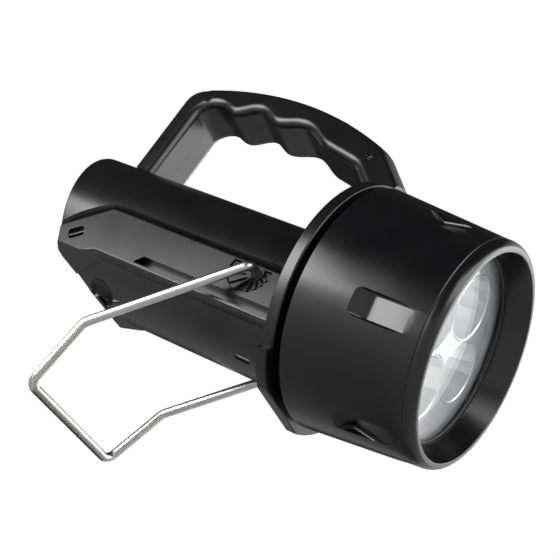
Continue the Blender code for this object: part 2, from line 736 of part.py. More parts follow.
# Side panels, hubs and strap bars
for side, sign in (("right", -1.0), ("left", 1.0)):
    inner = panel_seat + gap
    shape = prism(panel_outline(), sign * cavity_radius / 2.0, sign * panel_plane)
    panel = add_object("side_panel_" + side, shape, "black_satin")
    core_outline = [(body_rear_top - overrun, 0.0), (body_rear_top - overrun, body_radius + gap)]
    core_outline += [(flange_rear + overrun, body_radius + gap), (flange_rear + overrun, 0.0)]
    core = lathe(core_outline, body_sides, centre_z=-body_drop)
    core_form = add_cutter("panel_core_" + side, core)
    flat = block((body_rear_top - 2.0 * overrun, -inner, -body_radius * 2.0), (overrun, inner, body_radius))
    boolean(core_form, add_cutter("panel_flat_" + side, flat), "INTERSECT")
    boolean(panel, core_form)
    round_outline = [(body_rear_top - overrun, 0.0), (body_rear_top - overrun, panel_reach)]
    round_outline += [(flange_rear + overrun, panel_reach), (flange_rear + overrun, 0.0)]
    round_form = lathe(round_outline, body_sides, centre_z=-body_drop)
    boolean(panel, add_cutter("panel_round_" + side, round_form), "INTERSECT")
    channel = [(channel_rear - channel_nose, channel_bottom), (channel_rear, channel_top)]
    channel += [(flange_rear + overrun, channel_top), (flange_rear + overrun, channel_bottom)]
    boolean(panel, add_cutter("channel_" + side, prism(channel, sign * channel_floor, sign * (panel_plane + overrun))))
    pocket = prism(pocket_outline(pocket_radius, pocket_flat), sign * (panel_seat - overrun), sign * (panel_plane + overrun))
    boolean(panel, add_cutter("pocket_" + side, pocket))
    slot_centre = (strap_slot_x, strap_slot_z)
    slot = slot_outline(slot_centre, strap_slot_length, strap_slot_width, strap_slot_tilt, strap_slot_round)
    slot_floor = panel_plane - strap_slot_depth
    boolean(panel, add_cutter("strap_slot_" + side, prism(slot, sign * slot_floor, sign * (panel_plane + overrun))))
    bar_way = Vector((math.cos(strap_slot_tilt), 0.0, math.sin(strap_slot_tilt))) * strap_bar_half
    bar_middle = Vector((strap_slot_x, sign * (panel_plane - strap_bar_depth), strap_slot_z))
    bar = tube([bar_middle - bar_way, bar_middle + bar_way], strap_bar_radius, small_sides)
    add_object("strap_bar_" + side, bar, "black_satin")
    longer = bar_way * (1.0 + gap / strap_bar_half)
    hole = tube([bar_middle - longer, bar_middle + longer], strap_bar_radius + wire_play, small_sides)
    boolean(panel, add_cutter("strap_bar_hole_" + side, hole))
    hub_low, hub_high = inner, inner + hub_thickness
    hub_outline = pocket_outline(pocket_radius - gap, pocket_flat - gap)
    hub = add_object("pivot_hub_" + side, prism(hub_outline, sign * hub_low, sign * hub_high), "black_satin")
    rib_root = hub_boss_radius - hub_rib_width
    for index in range(hub_rib_count):
        angle = -math.pi * (index + 0.5) / hub_rib_count
        out = Vector((math.cos(angle), math.sin(angle)))
        start = Vector((pivot_x, pivot_z)) + out * rib_root
        across = Vector((-out.y, out.x)) * hub_rib_width / 2.0
        rim = math.sqrt(pocket_radius ** 2 - (pocket_back * out.y) ** 2) - pocket_back * out.x
        stop = start + out * (rim - 2.0 * gap - rib_root)
        rib = [start - across, stop - across, stop + across, start + across]
        rib_form = prism([tuple(point) for point in rib], sign * (hub_low + gap), sign * (hub_high + hub_rib_height))
        boolean(hub, add_cutter("hub_rib_%s_%d" % (side, index), rib_form), "UNION")
    boss = arc_points((pivot_x, pivot_z), hub_boss_radius, 0.0, math.tau, round_sides)[:-1]
    boss = [(x, min(z, pocket_flat - gap)) for x, z in boss]
    boss_form = prism(boss, sign * hub_low, sign * (hub_high + hub_boss_height))
    boolean(hub, add_cutter("hub_boss_" + side, boss_form), "UNION")
    bore = arc_points((pivot_x, pivot_z), wire_radius + wire_play, 0.0, math.tau, wire_sides)[:-1]
    bore_form = prism(bore, sign * (hub_low - overrun), sign * (hub_high + hub_boss_height + overrun))
    boolean(hub, add_cutter("hub_bore_" + side, bore_form))

# Stand, drawn about its pivot
leg_way = Vector((-math.cos(leg_angle), 0.0, -math.sin(leg_angle)))
foot_way = Vector((-math.cos(leg_angle + foot_kink), 0.0, -math.sin(leg_angle + foot_kink)))
kink = pivot + leg_way * leg_length
cross = kink + foot_way * foot_length
half_path = [
    pivot + Vector((0.0, wire_tip, 0.0)),
    pivot + Vector((0.0, leg_offset, 0.0)),
    kink + Vector((0.0, leg_offset, 0.0)),
    cross + Vector((0.0, foot_offset, 0.0)),
]
corners = half_path + list(reversed(mirror_y(half_path)))
stand = add_object("wire_stand", tube(bend_path(corners, wire_bend, bend_steps), wire_radius, wire_sides), "nickel_wire", pivot)

# Head cap
groove_back = head_cone_length - lip_groove_width
groove_radius = cone_at(groove_back)
back_arc_centre = (head_edge_round, cone_at(head_edge_round) - head_edge_round)
lip_round = groove_radius - lip_outer_radius
lip_arc_centre = (lip_front - lip_round, groove_radius - lip_round)
cap_outline = [(0.0, cap_bore)]
cap_outline += arc_points(back_arc_centre, head_edge_round, math.pi, math.pi / 2.0, corner_steps)
cap_outline += [(groove_back, groove_radius), (groove_back, groove_radius - lip_groove_depth)]
cap_outline += [(head_cone_length, groove_radius - lip_groove_depth), (head_cone_length, groove_radius)]
cap_outline += arc_points(lip_arc_centre, lip_round, math.pi / 2.0, 0.0, corner_steps)
cap_outline += [(lip_front, lip_inner_radius), (seat_x + edge_round, window_radius), (seat_x, window_radius)]
cap_outline += [(seat_x, chamber_radius), (thread_depth, chamber_radius), (thread_depth, cap_bore)]
head_cap = add_object("head_cap", lathe(cap_outline, fine_sides), "black_satin")
notch_outline = [(notch_start, cone_at(notch_start)), (notch_deepest, cone_at(notch_deepest) - notch_depth)]
notch_outline += [(notch_end, cone_at(notch_end)), (notch_end, head_back_radius + overrun)]
notch_outline += [(notch_start, head_back_radius + overrun)]
notches = bmesh.new()
for index in range(notch_count):
    turn = Matrix.Rotation(notch_turn + math.tau * index / notch_count, 3, "X")
    prism(notch_outline, -notch_width / 2.0, notch_width / 2.0, mesh_data=notches, place=turn)
boolean(head_cap, add_cutter("notch_forms", notches))

# Gasket, lens, spacer, O-ring
gasket_outline = [(gasket_front - gasket_thickness, window_radius - gasket_reach), (gasket_front, window_radius - gasket_reach)]
gasket_outline += [(gasket_front, lens_radius), (gasket_front - gasket_thickness, lens_radius)]
add_object("lens_gasket", lathe(gasket_outline, fine_sides), "black_rubber")
lens_outline = rounded(lens_front - lens_thickness, lens_front, lens_radius, edge_round)
add_object("lens", lathe(lens_outline, fine_sides), "clear_lens")
spacer_outline = [(neck_length + gap, lens_radius - spacer_wall), (plate_front - plate_thickness - gap, lens_radius - spacer_wall)]
spacer_outline += [(plate_front - plate_thickness - gap, lens_radius), (neck_length + gap, lens_radius)]
add_object("reflector_spacer", lathe(spacer_outline, fine_sides), "raw_aluminium")
ring_radius = ring_wire / 2.0
ring_middle = neck_radius - ring_wire / 2.0 + gap / 2.0
ring_round = arc_points((ring_place, ring_middle), ring_radius - gap / 2.0, 0.0, math.tau, ring_sides)[:-1]
add_object("neck_oring", lathe(ring_round, fine_sides), "black_rubber")

# Reflector with its four cups
throat_x = led_board_front + led_height + gap
plate_outline = [(plate_front - plate_thickness, 0.0), (plate_front - plate_thickness, lens_radius)]
plate_outline += [(plate_front, lens_radius), (plate_front, 0.0)]
reflector = add_object("reflector", lathe(plate_outline, fine_sides), "mirror_metal")
cup_depth = plate_front - throat_x


def cup_profile(extra, low, high):
    """Bowl outline: the radius grows with the square root of the distance from the throat."""
    points = [(low, 0.0), (low, cup_throat_radius + extra)]
    for index in range(cup_rings):
        share = index / cup_rings
        if index > 0 or low < throat_x:
            points.append((throat_x + cup_depth * share ** 2, cup_throat_radius + (cup_radius - cup_throat_radius) * share + extra))
    points += [(high, cup_radius + extra), (high, 0.0)]
    return points


cup_places = [polar(cup_ring_radius, math.tau * index / cup_count) for index in range(cup_count)]
cup_top = plate_front - plate_thickness / 2.0
for index, (y, z) in enumerate(cup_places):
    bowl = lathe(cup_profile(cup_wall, throat_x, cup_top), cup_sides, y, z)
    boolean(reflector, add_cutter("cup_wall_%d" % index, bowl), "UNION")
for index, (y, z) in enumerate(cup_places):
    bowl = lathe(cup_profile(0.0, throat_x - overrun, plate_front + overrun), cup_sides, y, z)
    boolean(reflector, add_cutter("cup_bowl_%d" % index, bowl))

# LED board, LEDs, heat sink and their screws
board_outline = [(led_board_back, 0.0), (led_board_back, led_board_radius)]
board_outline += [(led_board_front, led_board_radius), (led_board_front, 0.0)]
led_board = add_object("led_board", lathe(board_outline, round_sides), "white_board")
led_screw_places = [polar(led_screw_place, math.pi * (index + 1.0 / cup_count)) for index in range(led_screw_count)]
for index, (y, z) in enumerate(led_screw_places):
    hole = [(sink_front - screw_length, 0.0), (sink_front - screw_length, screw_radius + wire_play)]
    hole += [(led_board_front + overrun, screw_radius + wire_play), (led_board_front + overrun, 0.0)]
    boolean(led_board, add_cutter("board_hole_%d" % index, lathe(hole, small_sides, y, z)))
for index, (y, z) in enumerate(cup_places):
    form = block((led_board_front + gap / 2.0, y - led_side / 2.0, z - led_side / 2.0),
                 (led_board_front + led_height, y + led_side / 2.0, z + led_side / 2.0))
    led = add_object("led_%d" % (index + 1), form, "led_yellow")
    dome = [(led_board_front + led_height / 2.0, 0.0), (led_board_front + led_height / 2.0, led_dome_radius)]
    for step in range(1, dome_steps + 1):
        angle = math.pi / 2.0 * step / dome_steps
        dome.append((led_board_front + led_height + led_dome_radius * math.sin(angle), led_dome_radius * math.cos(angle)))
    dome[-1] = (dome[-1][0], 0.0)
    boolean(led, add_cutter("led_dome_%d" % index, lathe(dome, small_sides, y, z)), "UNION")
sink_outline = [(sink_front, 0.0), (sink_front, neck_bore - gap), (shelf_x + gap, neck_bore - gap)]
sink_outline += [(shelf_x + gap, neck_bore - sink_rim), (sink_back, neck_bore - sink_rim), (sink_back, 0.0)]
heat_sink = add_object("heat_sink", lathe(sink_outline, fine_sides), "raw_aluminium")
post = [(driver_front + gap, 0.0), (driver_front + gap, driver_post_radius)]
post += [(sink_back + gap, driver_post_radius), (sink_back + gap, 0.0)]
for index in range(sink_screw_count):
    across, up = polar(driver_post_place, math.tau * (index + 0.5) / sink_screw_count)
    boolean(heat_sink, add_cutter("sink_post_%d" % index, lathe(post, small_sides, across, up)), "UNION")
for index, (y, z) in enumerate(led_screw_places):
    hole = [(sink_front - screw_length, 0.0), (sink_front - screw_length, screw_radius + wire_play)]
    hole += [(sink_front + overrun, screw_radius + wire_play), (sink_front + overrun, 0.0)]
    boolean(heat_sink, add_cutter("sink_hole_%d" % index, lathe(hole, small_sides, y, z)))
sink_screw_places = [polar(sink_screw_place, math.tau * index / sink_screw_count) for index in range(sink_screw_count)]
for index, (y, z) in enumerate(sink_screw_places):
    hole = [(shelf_x, 0.0), (shelf_x, screw_radius + wire_play)]
    hole += [(sink_front + overrun, screw_radius + wire_play), (sink_front + overrun, 0.0)]
    boolean(heat_sink, add_cutter("rim_hole_%d" % index, lathe(hole, small_sides, y, z)))

# Screws that hold the LED board and the heat sink
def screw(front, length, y, z):
    """Screw along X whose head stands in front of the given plane."""
    outline = [(front - length, 0.0), (front - length, screw_radius), (front + gap / 2.0, screw_radius)]
    outline += [(front + gap / 2.0, screw_head_radius), (front + screw_head_height, screw_head_radius)]
    outline += [(front + screw_head_height, 0.0)]
    return lathe(outline, small_sides, y, z)


for index, (y, z) in enumerate(led_screw_places):
    add_object("board_screw_%d" % (index + 1), screw(led_board_front + gap / 2.0, screw_length, y, z), "spring_steel")
for index, (y, z) in enumerate(sink_screw_places):
    add_object("sink_screw_%d" % (index + 1), screw(sink_front + gap / 2.0, sink_screw_length, y, z), "spring_steel")

# Driver board with its coil, chip and contact studs
driver_outline = [(driver_back, 0.0), (driver_back, driver_radius), (driver_front, driver_radius), (driver_front, 0.0)]
add_object("driver_board", lathe(driver_outline, round_sides), "circuit_green")
base = driver_front + gap / 2.0
coil = [(base, 0.0), (base, coil_radius), (base + coil_height, coil_radius), (base + coil_height, 0.0)]
add_object("driver_coil", lathe(coil, round_sides, -chip_offset, 0.0), "black_rubber")
chip = block((base, chip_offset - chip_side / 2.0, -chip_side / 2.0),
             (base + chip_height, chip_offset + chip_side / 2.0, chip_side / 2.0))
add_object("driver_chip", chip, "black_rubber")
stud = [(holder_front + gap, 0.0), (holder_front + gap, stud_radius)]
stud += [(driver_back - gap / 2.0, stud_radius), (driver_back - gap / 2.0, 0.0)]
for side, sign in (("right", -1.0), ("left", 1.0)):
    add_object("driver_stud_" + side, lathe(stud, small_sides, sign * stud_place, -body_drop), "brass")

# Battery holder, rods, contacts, cells and springs
def holder_disc(back, front):
    return lathe([(back, 0.0), (back, holder_radius), (front, holder_radius), (front, 0.0)], round_sides, 0.0, -body_drop)


rod_place = holder_radius - holder_rod_radius - gap
cell_places = [polar(cell_ring_radius, math.tau * index / cells_across) for index in range(cells_across)]
rod_places = [polar(rod_place, math.tau * (index + 0.5) / cells_across) for index in range(cells_across)]
cell_places = [(y, z - body_drop) for y, z in cell_places]
rod_places = [(y, z - body_drop) for y, z in rod_places]
holder = add_object("battery_holder", holder_disc(holder_front - holder_end, holder_front), "black_rubber")
boolean(holder, add_cutter("holder_rear_disc", holder_disc(holder_rear, holder_rear + holder_end)), "UNION")
mid_front = front_cell_back - gap
mid_disc = holder_disc(mid_front - holder_mid, mid_front)
boolean(holder, add_cutter("holder_mid_disc", mid_disc), "UNION")
for index, (y, z) in enumerate(rod_places):
    rod = [(holder_rear + holder_end / 2.0, 0.0), (holder_rear + holder_end / 2.0, holder_rod_radius)]
    rod += [(holder_front - holder_end / 2.0, holder_rod_radius), (holder_front - holder_end / 2.0, 0.0)]
    boolean(holder, add_cutter("holder_rod_%d" % index, lathe(rod, small_sides, y, z)), "UNION")
for index, (y, z) in enumerate(cell_places):
    eyelet = [(mid_front - holder_mid - overrun, 0.0), (mid_front - holder_mid - overrun, cell_cap_radius + 2.0 * gap)]
    eyelet += [(mid_front + overrun, cell_cap_radius + 2.0 * gap), (mid_front + overrun, 0.0)]
    boolean(holder, add_cutter("holder_eyelet_%d" % index, lathe(eyelet, small_sides, y, z)))
centre_hole = [(rear_plate_back, 0.0), (rear_plate_back, return_rod_radius + gap)]
centre_hole += [(holder_front + overrun, return_rod_radius + gap), (holder_front + overrun, 0.0)]
boolean(holder, add_cutter("holder_centre_hole", lathe(centre_hole, small_sides, 0.0, -body_drop)))
return_rod = [(rear_plate_back + contact_thickness + gap, 0.0), (rear_plate_back + contact_thickness + gap, return_rod_radius)]
return_rod += [(holder_front, return_rod_radius), (holder_front, 0.0)]
add_object("return_rod", lathe(return_rod, small_sides, 0.0, -body_drop), "brass")
plate_reach = rod_place - holder_rod_radius - gap
rear_plate = [(rear_plate_back, 0.0), (rear_plate_back, plate_reach)]
rear_plate += [(rear_plate_back + contact_thickness, plate_reach), (rear_plate_back + contact_thickness, 0.0)]
add_object("contact_plate_rear", lathe(rear_plate, round_sides, 0.0, -body_drop), "brass")
front_plate = [(front_plate_back, return_rod_radius + 2.0 * gap), (front_plate_back, plate_reach)]
front_plate += [(front_plate_back + contact_thickness, plate_reach)]
front_plate += [(front_plate_back + contact_thickness, return_rod_radius + 2.0 * gap)]
add_object("contact_plate_front", lathe(front_plate, round_sides, 0.0, -body_drop), "brass")
for layer, front in enumerate((front_cell_front, rear_cell_front)):
    for index, (y, z) in enumerate(cell_places):
        outline = rounded(front - cell_length, front - cell_cap_height, cell_radius, edge_round)[:-1]
        outline += [(front - cell_cap_height, cell_cap_radius), (front, cell_cap_radius), (front, 0.0)]
        number = 1 + index + layer * cells_across
        add_object("cell_%d" % number, lathe(outline, round_sides, y, z), "cell_jacket")
for index, (y, z) in enumerate(cell_places):
    path = []
    count = round(spring_turns * spring_points_per_turn)
    for step in range(count + 1):
        share = step / count
        angle = math.tau * spring_turns * share
        radius = spring_outer_radius + (spring_inner_radius - spring_outer_radius) * share - spring_wire / 2.0
        x = spring_back + spring_wire / 2.0 + (spring_room - spring_wire) * share
        path.append(Vector((x, y + radius * math.cos(angle), z + radius * math.sin(angle))))
    add_object("contact_spring_%d" % (index + 1), tube(path, spring_wire / 2.0, spring_sides), "spring_steel")

# Handle, drawn as rings of one outline that shrinks towards its sides
def crown_point(x, depth=0.0):
    """Point at a depth below the handle's arched top."""
    lean = math.asin((x - handle_peak_x) / handle_top_radius)
    reach = handle_top_radius - depth
    return handle_peak_x + reach * math.sin(lean), handle_centre_z + reach * math.cos(lean)


def crown_z(x):
    """Height of the handle's arched top."""
    return handle_centre_z + math.sqrt(handle_top_radius ** 2 - (x - handle_peak_x) ** 2)


def grip_z(x):
    """Underside of the grip: it follows the top, a little deeper in front, with finger waves."""
    wave = grip_wave * math.cos(math.tau * (x - grip_ridge_x) / grip_pitch)
    swell = grip_swell * (x - grip_rear_x) / (grip_ridge_x - grip_rear_x)
    return crown_z(x) - grip_depth - swell - wave


def handle_outline(foot_z):
    """Corners of the handle in side view and the kind of each edge that follows them."""
    front_x = flange_rear - gap
    corner = round_corner((handle_rear_x, foot_z), (handle_rear_x, crown_point(handle_rear_x)[1]),
                          crown_point(handle_rear_x + 2.0 * handle_rear_corner), handle_rear_corner, corner_steps)
    points = [((handle_rear_x, foot_z), "crown")]
    points += [(tuple(point), "crown") for point in corner]
    start = corner[-1][0]
    nose = crown_point(handle_nose_x)
    slope_end = (front_x, nose[1] - (front_x - nose[0]) * math.tan(handle_nose_tilt))
    blend = round_corner(crown_point(handle_nose_x - handle_nose_round), nose, slope_end, handle_nose_round, corner_steps)
    stop = blend[0][0]
    for step in range(1, crown_steps):
        points.append((crown_point(start + (stop - start) * step / crown_steps), "crown"))
    points += [(tuple(point), "crown") for point in blend]
    points += [(slope_end, "flat"), ((front_x, foot_z), "flat"), ((handle_front_leg, foot_z), "grip")]
    throat = throat_round
    bend, bay = (handle_front_leg, front_leg_bend_z), (front_throat_x, front_throat_z)
    front_bend = round_corner((handle_front_leg, foot_z), bend, bay, throat, corner_steps)
    front_throat = round_corner(bend, bay, (grip_ridge_x, grip_z(grip_ridge_x)), throat, corner_steps)
    points += [(tuple(point), "grip") for point in front_bend + front_throat]
    for step in range(grip_points):
        x = grip_ridge_x + (grip_rear_x - grip_ridge_x) * step / grip_points
        points.append(((x, grip_z(x)), "grip"))
    rear_throat = round_corner((grip_rear_x + throat, grip_z(grip_rear_x)), (handle_rear_leg, grip_z(grip_rear_x)),
                               (handle_rear_leg, foot_z), throat, corner_steps)
    points += [(tuple(point), "grip") for point in rear_throat]
    points.append(((handle_rear_leg, foot_z), "flat"))
    return points


def inset(points, amounts):
    """Moves each edge of a clockwise outline inwards by its own amount."""
    moved = []
    count = len(points)
    for index in range(count):
        here = Vector(points[index][0])
        before = (here - Vector(points[index - 1][0])).normalized()
        after = (Vector(points[(index + 1) % count][0]) - here).normalized()
        first_way, second_way = Vector((before.y, -before.x)), Vector((after.y, -after.x))
        first, second = amounts[points[index - 1][1]], amounts[points[index][1]]
        cross = first_way.x * second_way.y - first_way.y * second_way.x
        if abs(cross) < straight_limit:
            moved.append(here + second_way * second)
            continue
        x = (first * second_way.y - second * first_way.y) / cross
        z = (second * first_way.x - first * second_way.x) / cross
        moved.append(here + Vector((x, z)))
    return moved


def handle_ring(mesh_data, points, y, sign, crown, edge, flat):
    amounts = {"crown": crown, "grip": edge, "flat": flat}
    return [mesh_data.verts.new((point.x, sign * y, point.y)) for point in inset(points, amounts)]


def crown_drop(y):
    return handle_crown * (y / handle_half_width) ** 2


def handle_half(sign):
    mesh_data = bmesh.new()
    points = handle_outline(handle_foot_z)
    rings = []
    straight = handle_half_width - grip_round
    for step in range(handle_stations + 1):
        y = gap / 2.0 + (straight - gap / 2.0) * step / handle_stations
        rings.append(handle_ring(mesh_data, points, y, sign, crown_drop(y), 0.0, 0.0))
    for step in range(1, corner_steps):
        angle = math.pi / 2.0 * step / (corner_steps - 1)
        y = straight + grip_round * math.sin(angle)
        edge = grip_round * (1.0 - math.cos(angle))
        drop = crown_drop(y) + max(y - handle_half_width + crown_round, 0.0)
        rings.append(handle_ring(mesh_data, points, y, sign, drop, edge, 0.0))
    bridge(mesh_data, rings, closed=False)
    return mesh_data


def handle_hollow(sign):
    mesh_data = bmesh.new()
    points = handle_outline(handle_floor_z - handle_wall)
    rings = []
    deepest = handle_half_width - handle_wall
    for y in (-overrun, 0.0, deepest / 3.0, deepest * 2.0 / 3.0, deepest):
        rings.append(handle_ring(mesh_data, points, y, sign, crown_drop(max(y, 0.0)) + handle_wall, handle_wall, handle_wall))
    bridge(mesh_data, rings, closed=False)
    return mesh_data


# Switch axes: its own X stands square to the handle's top
switch_lean = math.asin((switch_x - handle_peak_x) / handle_top_radius)
switch_turn = Matrix.Rotation(switch_lean - math.pi / 2.0, 3, "Y")
switch_place = Vector((crown_point(switch_x)[0], 0.0, crown_point(switch_x)[1]))


def to_switch(mesh_data):
    """Carries a shape drawn along X to the switch's place in the handle."""
    bmesh.ops.rotate(mesh_data, verts=mesh_data.verts, matrix=switch_turn)
    bmesh.ops.translate(mesh_data, verts=mesh_data.verts, vec=switch_place)
    return mesh_data


lead_hole = [(flange_rear - handle_wall - overrun, 0.0), (flange_rear - handle_wall - overrun, lead_hole_radius)]
lead_hole += [(flange_rear + overrun, lead_hole_radius), (flange_rear + overrun, 0.0)]
nose_z = crown_z(handle_nose_x) + (handle_nose_x - handle_screw_front_x) * math.tan(handle_nose_tilt)
screw_spots = [(handle_screw_rear_x, crown_z(handle_screw_rear_x) - handle_screw_rear_drop)]
screw_spots.append((handle_screw_front_x, nose_z - handle_screw_front_drop))
screw_seat = handle_half_width - handle_screw_depth
for side, sign in (("right", -1.0), ("left", 1.0)):
    half = add_object("handle_" + side, handle_half(sign), "black_satin")
    saddle = [(body_rear_top - overrun, 0.0), (body_rear_top - overrun, body_radius + gap)]
    saddle += [(overrun, body_radius + gap), (overrun, 0.0)]
    boolean(half, add_cutter("handle_saddle_" + side, lathe(saddle, body_sides, centre_z=-body_drop)))
    hollow = add_cutter("handle_hollow_" + side, handle_hollow(sign))
    for index, (x, z) in enumerate(screw_spots):
        boss = arc_points((x, z), handle_boss_radius, 0.0, math.tau, small_sides)[:-1]
        boss_form = prism(boss, -sign * 2.0 * overrun, sign * handle_half_width)
        boolean(hollow, add_cutter("handle_boss_%s_%d" % (side, index), boss_form))
    boolean(half, hollow)
    for name, low, high in (("rear", rear_lug_low, rear_lug_high), ("front", front_lug_low, front_lug_high)):
        slot = block((low - gap, min(-sign * overrun, sign * (lug_neck + gap)), lug_root),
                     (high + gap, max(-sign * overrun, sign * (lug_neck + gap)), handle_floor_z + gap))
        boolean(half, add_cutter("lug_slot_%s_%s" % (name, side), slot))
    for index, (x, z) in enumerate(screw_spots):
        shaft = arc_points((x, z), handle_screw_shaft + wire_play, 0.0, math.tau, small_sides)[:-1]
        deep = handle_screw_reach + gap if sign > 0.0 else screw_seat + overrun
        shaft_form = prism(shaft, -sign * overrun, sign * deep)
        boolean(half, add_cutter("screw_hole_%s_%d" % (side, index), shaft_form))
        if sign < 0.0:
            sink = arc_points((x, z), handle_screw_hole, 0.0, math.tau, small_sides)[:-1]
            sink_form = prism(sink, -screw_seat, -handle_half_width - overrun)
            boolean(half, add_cutter("screw_recess_%d" % index, sink_form))
    recess = [(bezel_bottom - overrun, 0.0), (bezel_bottom - overrun, bezel_radius + gap)]
    recess += [(bezel_top - bezel_lip_height - gap, bezel_radius + gap)]
    recess += [(bezel_top - bezel_lip_height - gap, bezel_radius + bezel_lip + gap)]
    recess += [(overrun, bezel_radius + bezel_lip + gap), (overrun, 0.0)]
    boolean(half, add_cutter("bezel_seat_" + side, to_switch(lathe(recess, round_sides))))
    if sign > 0.0:
        boolean(half, add_cutter("handle_lead_hole", lathe(lead_hole, small_sides, lead_y, lead_z)))
head_back = -screw_seat - gap / 2.0
for index, (x, z) in enumerate(screw_spots):
    outline = [(head_back - handle_screw_head, 0.0), (head_back - handle_screw_head, handle_screw_hole - wire_play)]
    outline += [(head_back, handle_screw_hole - wire_play), (head_back, handle_screw_shaft)]
    outline += [(handle_screw_reach, handle_screw_shaft), (handle_screw_reach, 0.0)]
    one = lathe(outline, small_sides)
    bmesh.ops.rotate(one, verts=one.verts, matrix=Matrix.Rotation(math.pi / 2.0, 3, "Z"))
    bmesh.ops.translate(one, verts=one.verts, vec=Vector((x, 0.0, z)))
    add_object("handle_screw_%d" % (index + 1), one, "spring_steel")

bezel_outline = [(bezel_bottom, bezel_radius - bezel_wall), (bezel_bottom, bezel_radius)]
bezel_outline += [(bezel_top - bezel_lip_height, bezel_radius), (bezel_top - bezel_lip_height, bezel_radius + bezel_lip)]
bezel_outline += [(bezel_top, bezel_radius + bezel_lip), (bezel_top, bezel_radius - bezel_wall)]
add_object("switch_bezel", to_switch(lathe(bezel_outline, round_sides)), "black_rubber", switch_place)
button_radius = bezel_radius - bezel_wall - gap
button_low = bezel_bottom - gap - button_flange
button_outline = [(button_low, 0.0), (button_low, button_radius + button_lip), (bezel_bottom - gap, button_radius + button_lip)]
button_outline += [(bezel_bottom - gap, button_radius), (button_top - edge_round, button_radius)]
button_outline += [(button_top, button_radius - edge_round), (button_top, 0.0)]
add_object("switch_button", to_switch(lathe(button_outline, round_sides)), "black_rubber", switch_place)
plunger = [(button_low - gap - plunger_length, 0.0), (button_low - gap - plunger_length, plunger_radius)]
plunger += [(button_low - gap, plunger_radius), (button_low - gap, 0.0)]
add_object("switch_plunger", to_switch(lathe(plunger, small_sides)), "white_board", switch_place)
micro = block((micro_bottom, -micro_side / 2.0, -micro_side / 2.0), (micro_top, micro_side / 2.0, micro_side / 2.0))
micro_switch = add_object("micro_switch", to_switch(micro), "black_satin", switch_place)
micro_hole = [(micro_top - micro_hole_depth, 0.0), (micro_top - micro_hole_depth, plunger_radius + gap)]
micro_hole += [(micro_top + overrun, plunger_radius + gap), (micro_top + overrun, 0.0)]
boolean(micro_switch, add_cutter("micro_hole", to_switch(lathe(micro_hole, small_sides))))

# Leads
forward = Vector((math.cos(switch_lean), 0.0, -math.sin(switch_lean)))
outward = Vector((math.sin(switch_lean), 0.0, math.cos(switch_lean)))
lead_start = switch_place + outward * (micro_bottom + micro_top) / 2.0 + forward * (micro_side / 2.0 + gap)
lead_rise = handle_boss_radius + lead_radius + lead_boss_play
lead_pass = Vector((screw_spots[1][0], lead_y, screw_spots[1][1]))
lead_pass += Vector((math.sin(handle_nose_tilt), 0.0, math.cos(handle_nose_tilt))) * lead_rise
lead_corners = [
    lead_start,
    Vector((lead_over_x, lead_y / 2.0, crown_z(lead_over_x) - lead_over_drop)),
    lead_pass,
    Vector((lead_drop_x, lead_y, lead_mid_z)),
    Vector((lead_drop_x, lead_y, lead_z)),
    Vector((lead_turn_x, lead_y, lead_z)),
    Vector((lead_turn_x, lead_y, lead_end_z)),
    Vector((driver_front + gap, lead_y, lead_end_z)),
]
add_object("switch_lead", tube(bend_path(lead_corners, lead_bend, corner_steps), lead_radius, lead_sides), "lead_red")
led_lead_ends = [Vector((driver_front + gap, led_lead_place, led_lead_place))]
led_lead_ends += [Vector((led_board_back - gap, led_lead_place, led_lead_place))]
add_object("led_lead", tube(led_lead_ends, lead_radius, lead_sides), "lead_red")
through = [(sink_back - overrun, 0.0), (sink_back - overrun, lead_hole_radius)]
through += [(sink_front + overrun, lead_hole_radius), (sink_front + overrun, 0.0)]
boolean(heat_sink, add_cutter("sink_lead_hole", lathe(through, small_sides, led_lead_place, led_lead_place)))

# Tips the lamp onto its head rim and the stand, and centres it over the origin
span = Vector((cross.x - (lip_front - lip_round), cross.z + lip_arc_centre[1]))
slope = math.atan2(-span.y, -span.x)
offset = math.asin((wire_radius - lip_round) / span.length)
lamp.rotation_euler = (0.0, slope + offset, 0.0)
bpy.context.view_layer.update()
graph = bpy.context.evaluated_depsgraph_get()
low = Vector((math.inf, math.inf, math.inf))
high = -low
for piece in bpy.data.objects:
    if piece.type != "MESH" or piece.hide_render:
        continue
    shape = piece.evaluated_get(graph)
    for corner in shape.data.vertices:
        place = shape.matrix_world @ corner.co
        low = Vector(map(min, low, place))
        high = Vector(map(max, high, place))
lamp.location = (-(low.x + high.x) / 2.0, -(low.y + high.y) / 2.0, -low.z)
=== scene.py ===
"""Looks of the explosion-proof hand lamp: finer forms, finishes, studio light and the photograph's camera."""
import json
import math

import bmesh
import bpy
from mathutils import Matrix, Vector


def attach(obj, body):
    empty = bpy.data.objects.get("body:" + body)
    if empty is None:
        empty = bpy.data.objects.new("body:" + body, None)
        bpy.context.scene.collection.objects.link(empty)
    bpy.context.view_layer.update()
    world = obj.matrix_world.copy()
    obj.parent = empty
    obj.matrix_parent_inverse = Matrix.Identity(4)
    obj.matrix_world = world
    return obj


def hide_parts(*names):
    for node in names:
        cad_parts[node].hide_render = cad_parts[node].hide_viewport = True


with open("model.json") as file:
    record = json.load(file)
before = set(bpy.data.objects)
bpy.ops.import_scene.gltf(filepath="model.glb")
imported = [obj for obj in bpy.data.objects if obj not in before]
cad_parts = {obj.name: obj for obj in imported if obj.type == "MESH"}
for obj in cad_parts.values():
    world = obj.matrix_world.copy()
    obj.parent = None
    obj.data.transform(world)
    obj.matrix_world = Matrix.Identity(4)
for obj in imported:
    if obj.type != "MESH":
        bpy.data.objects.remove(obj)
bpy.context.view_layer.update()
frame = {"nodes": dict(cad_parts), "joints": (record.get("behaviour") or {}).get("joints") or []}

mm = 0.001
gap = 0.3 * mm
overrun = 2.0 * mm
weld_distance = 0.001 * mm
quarter_turn = math.pi / 2.0

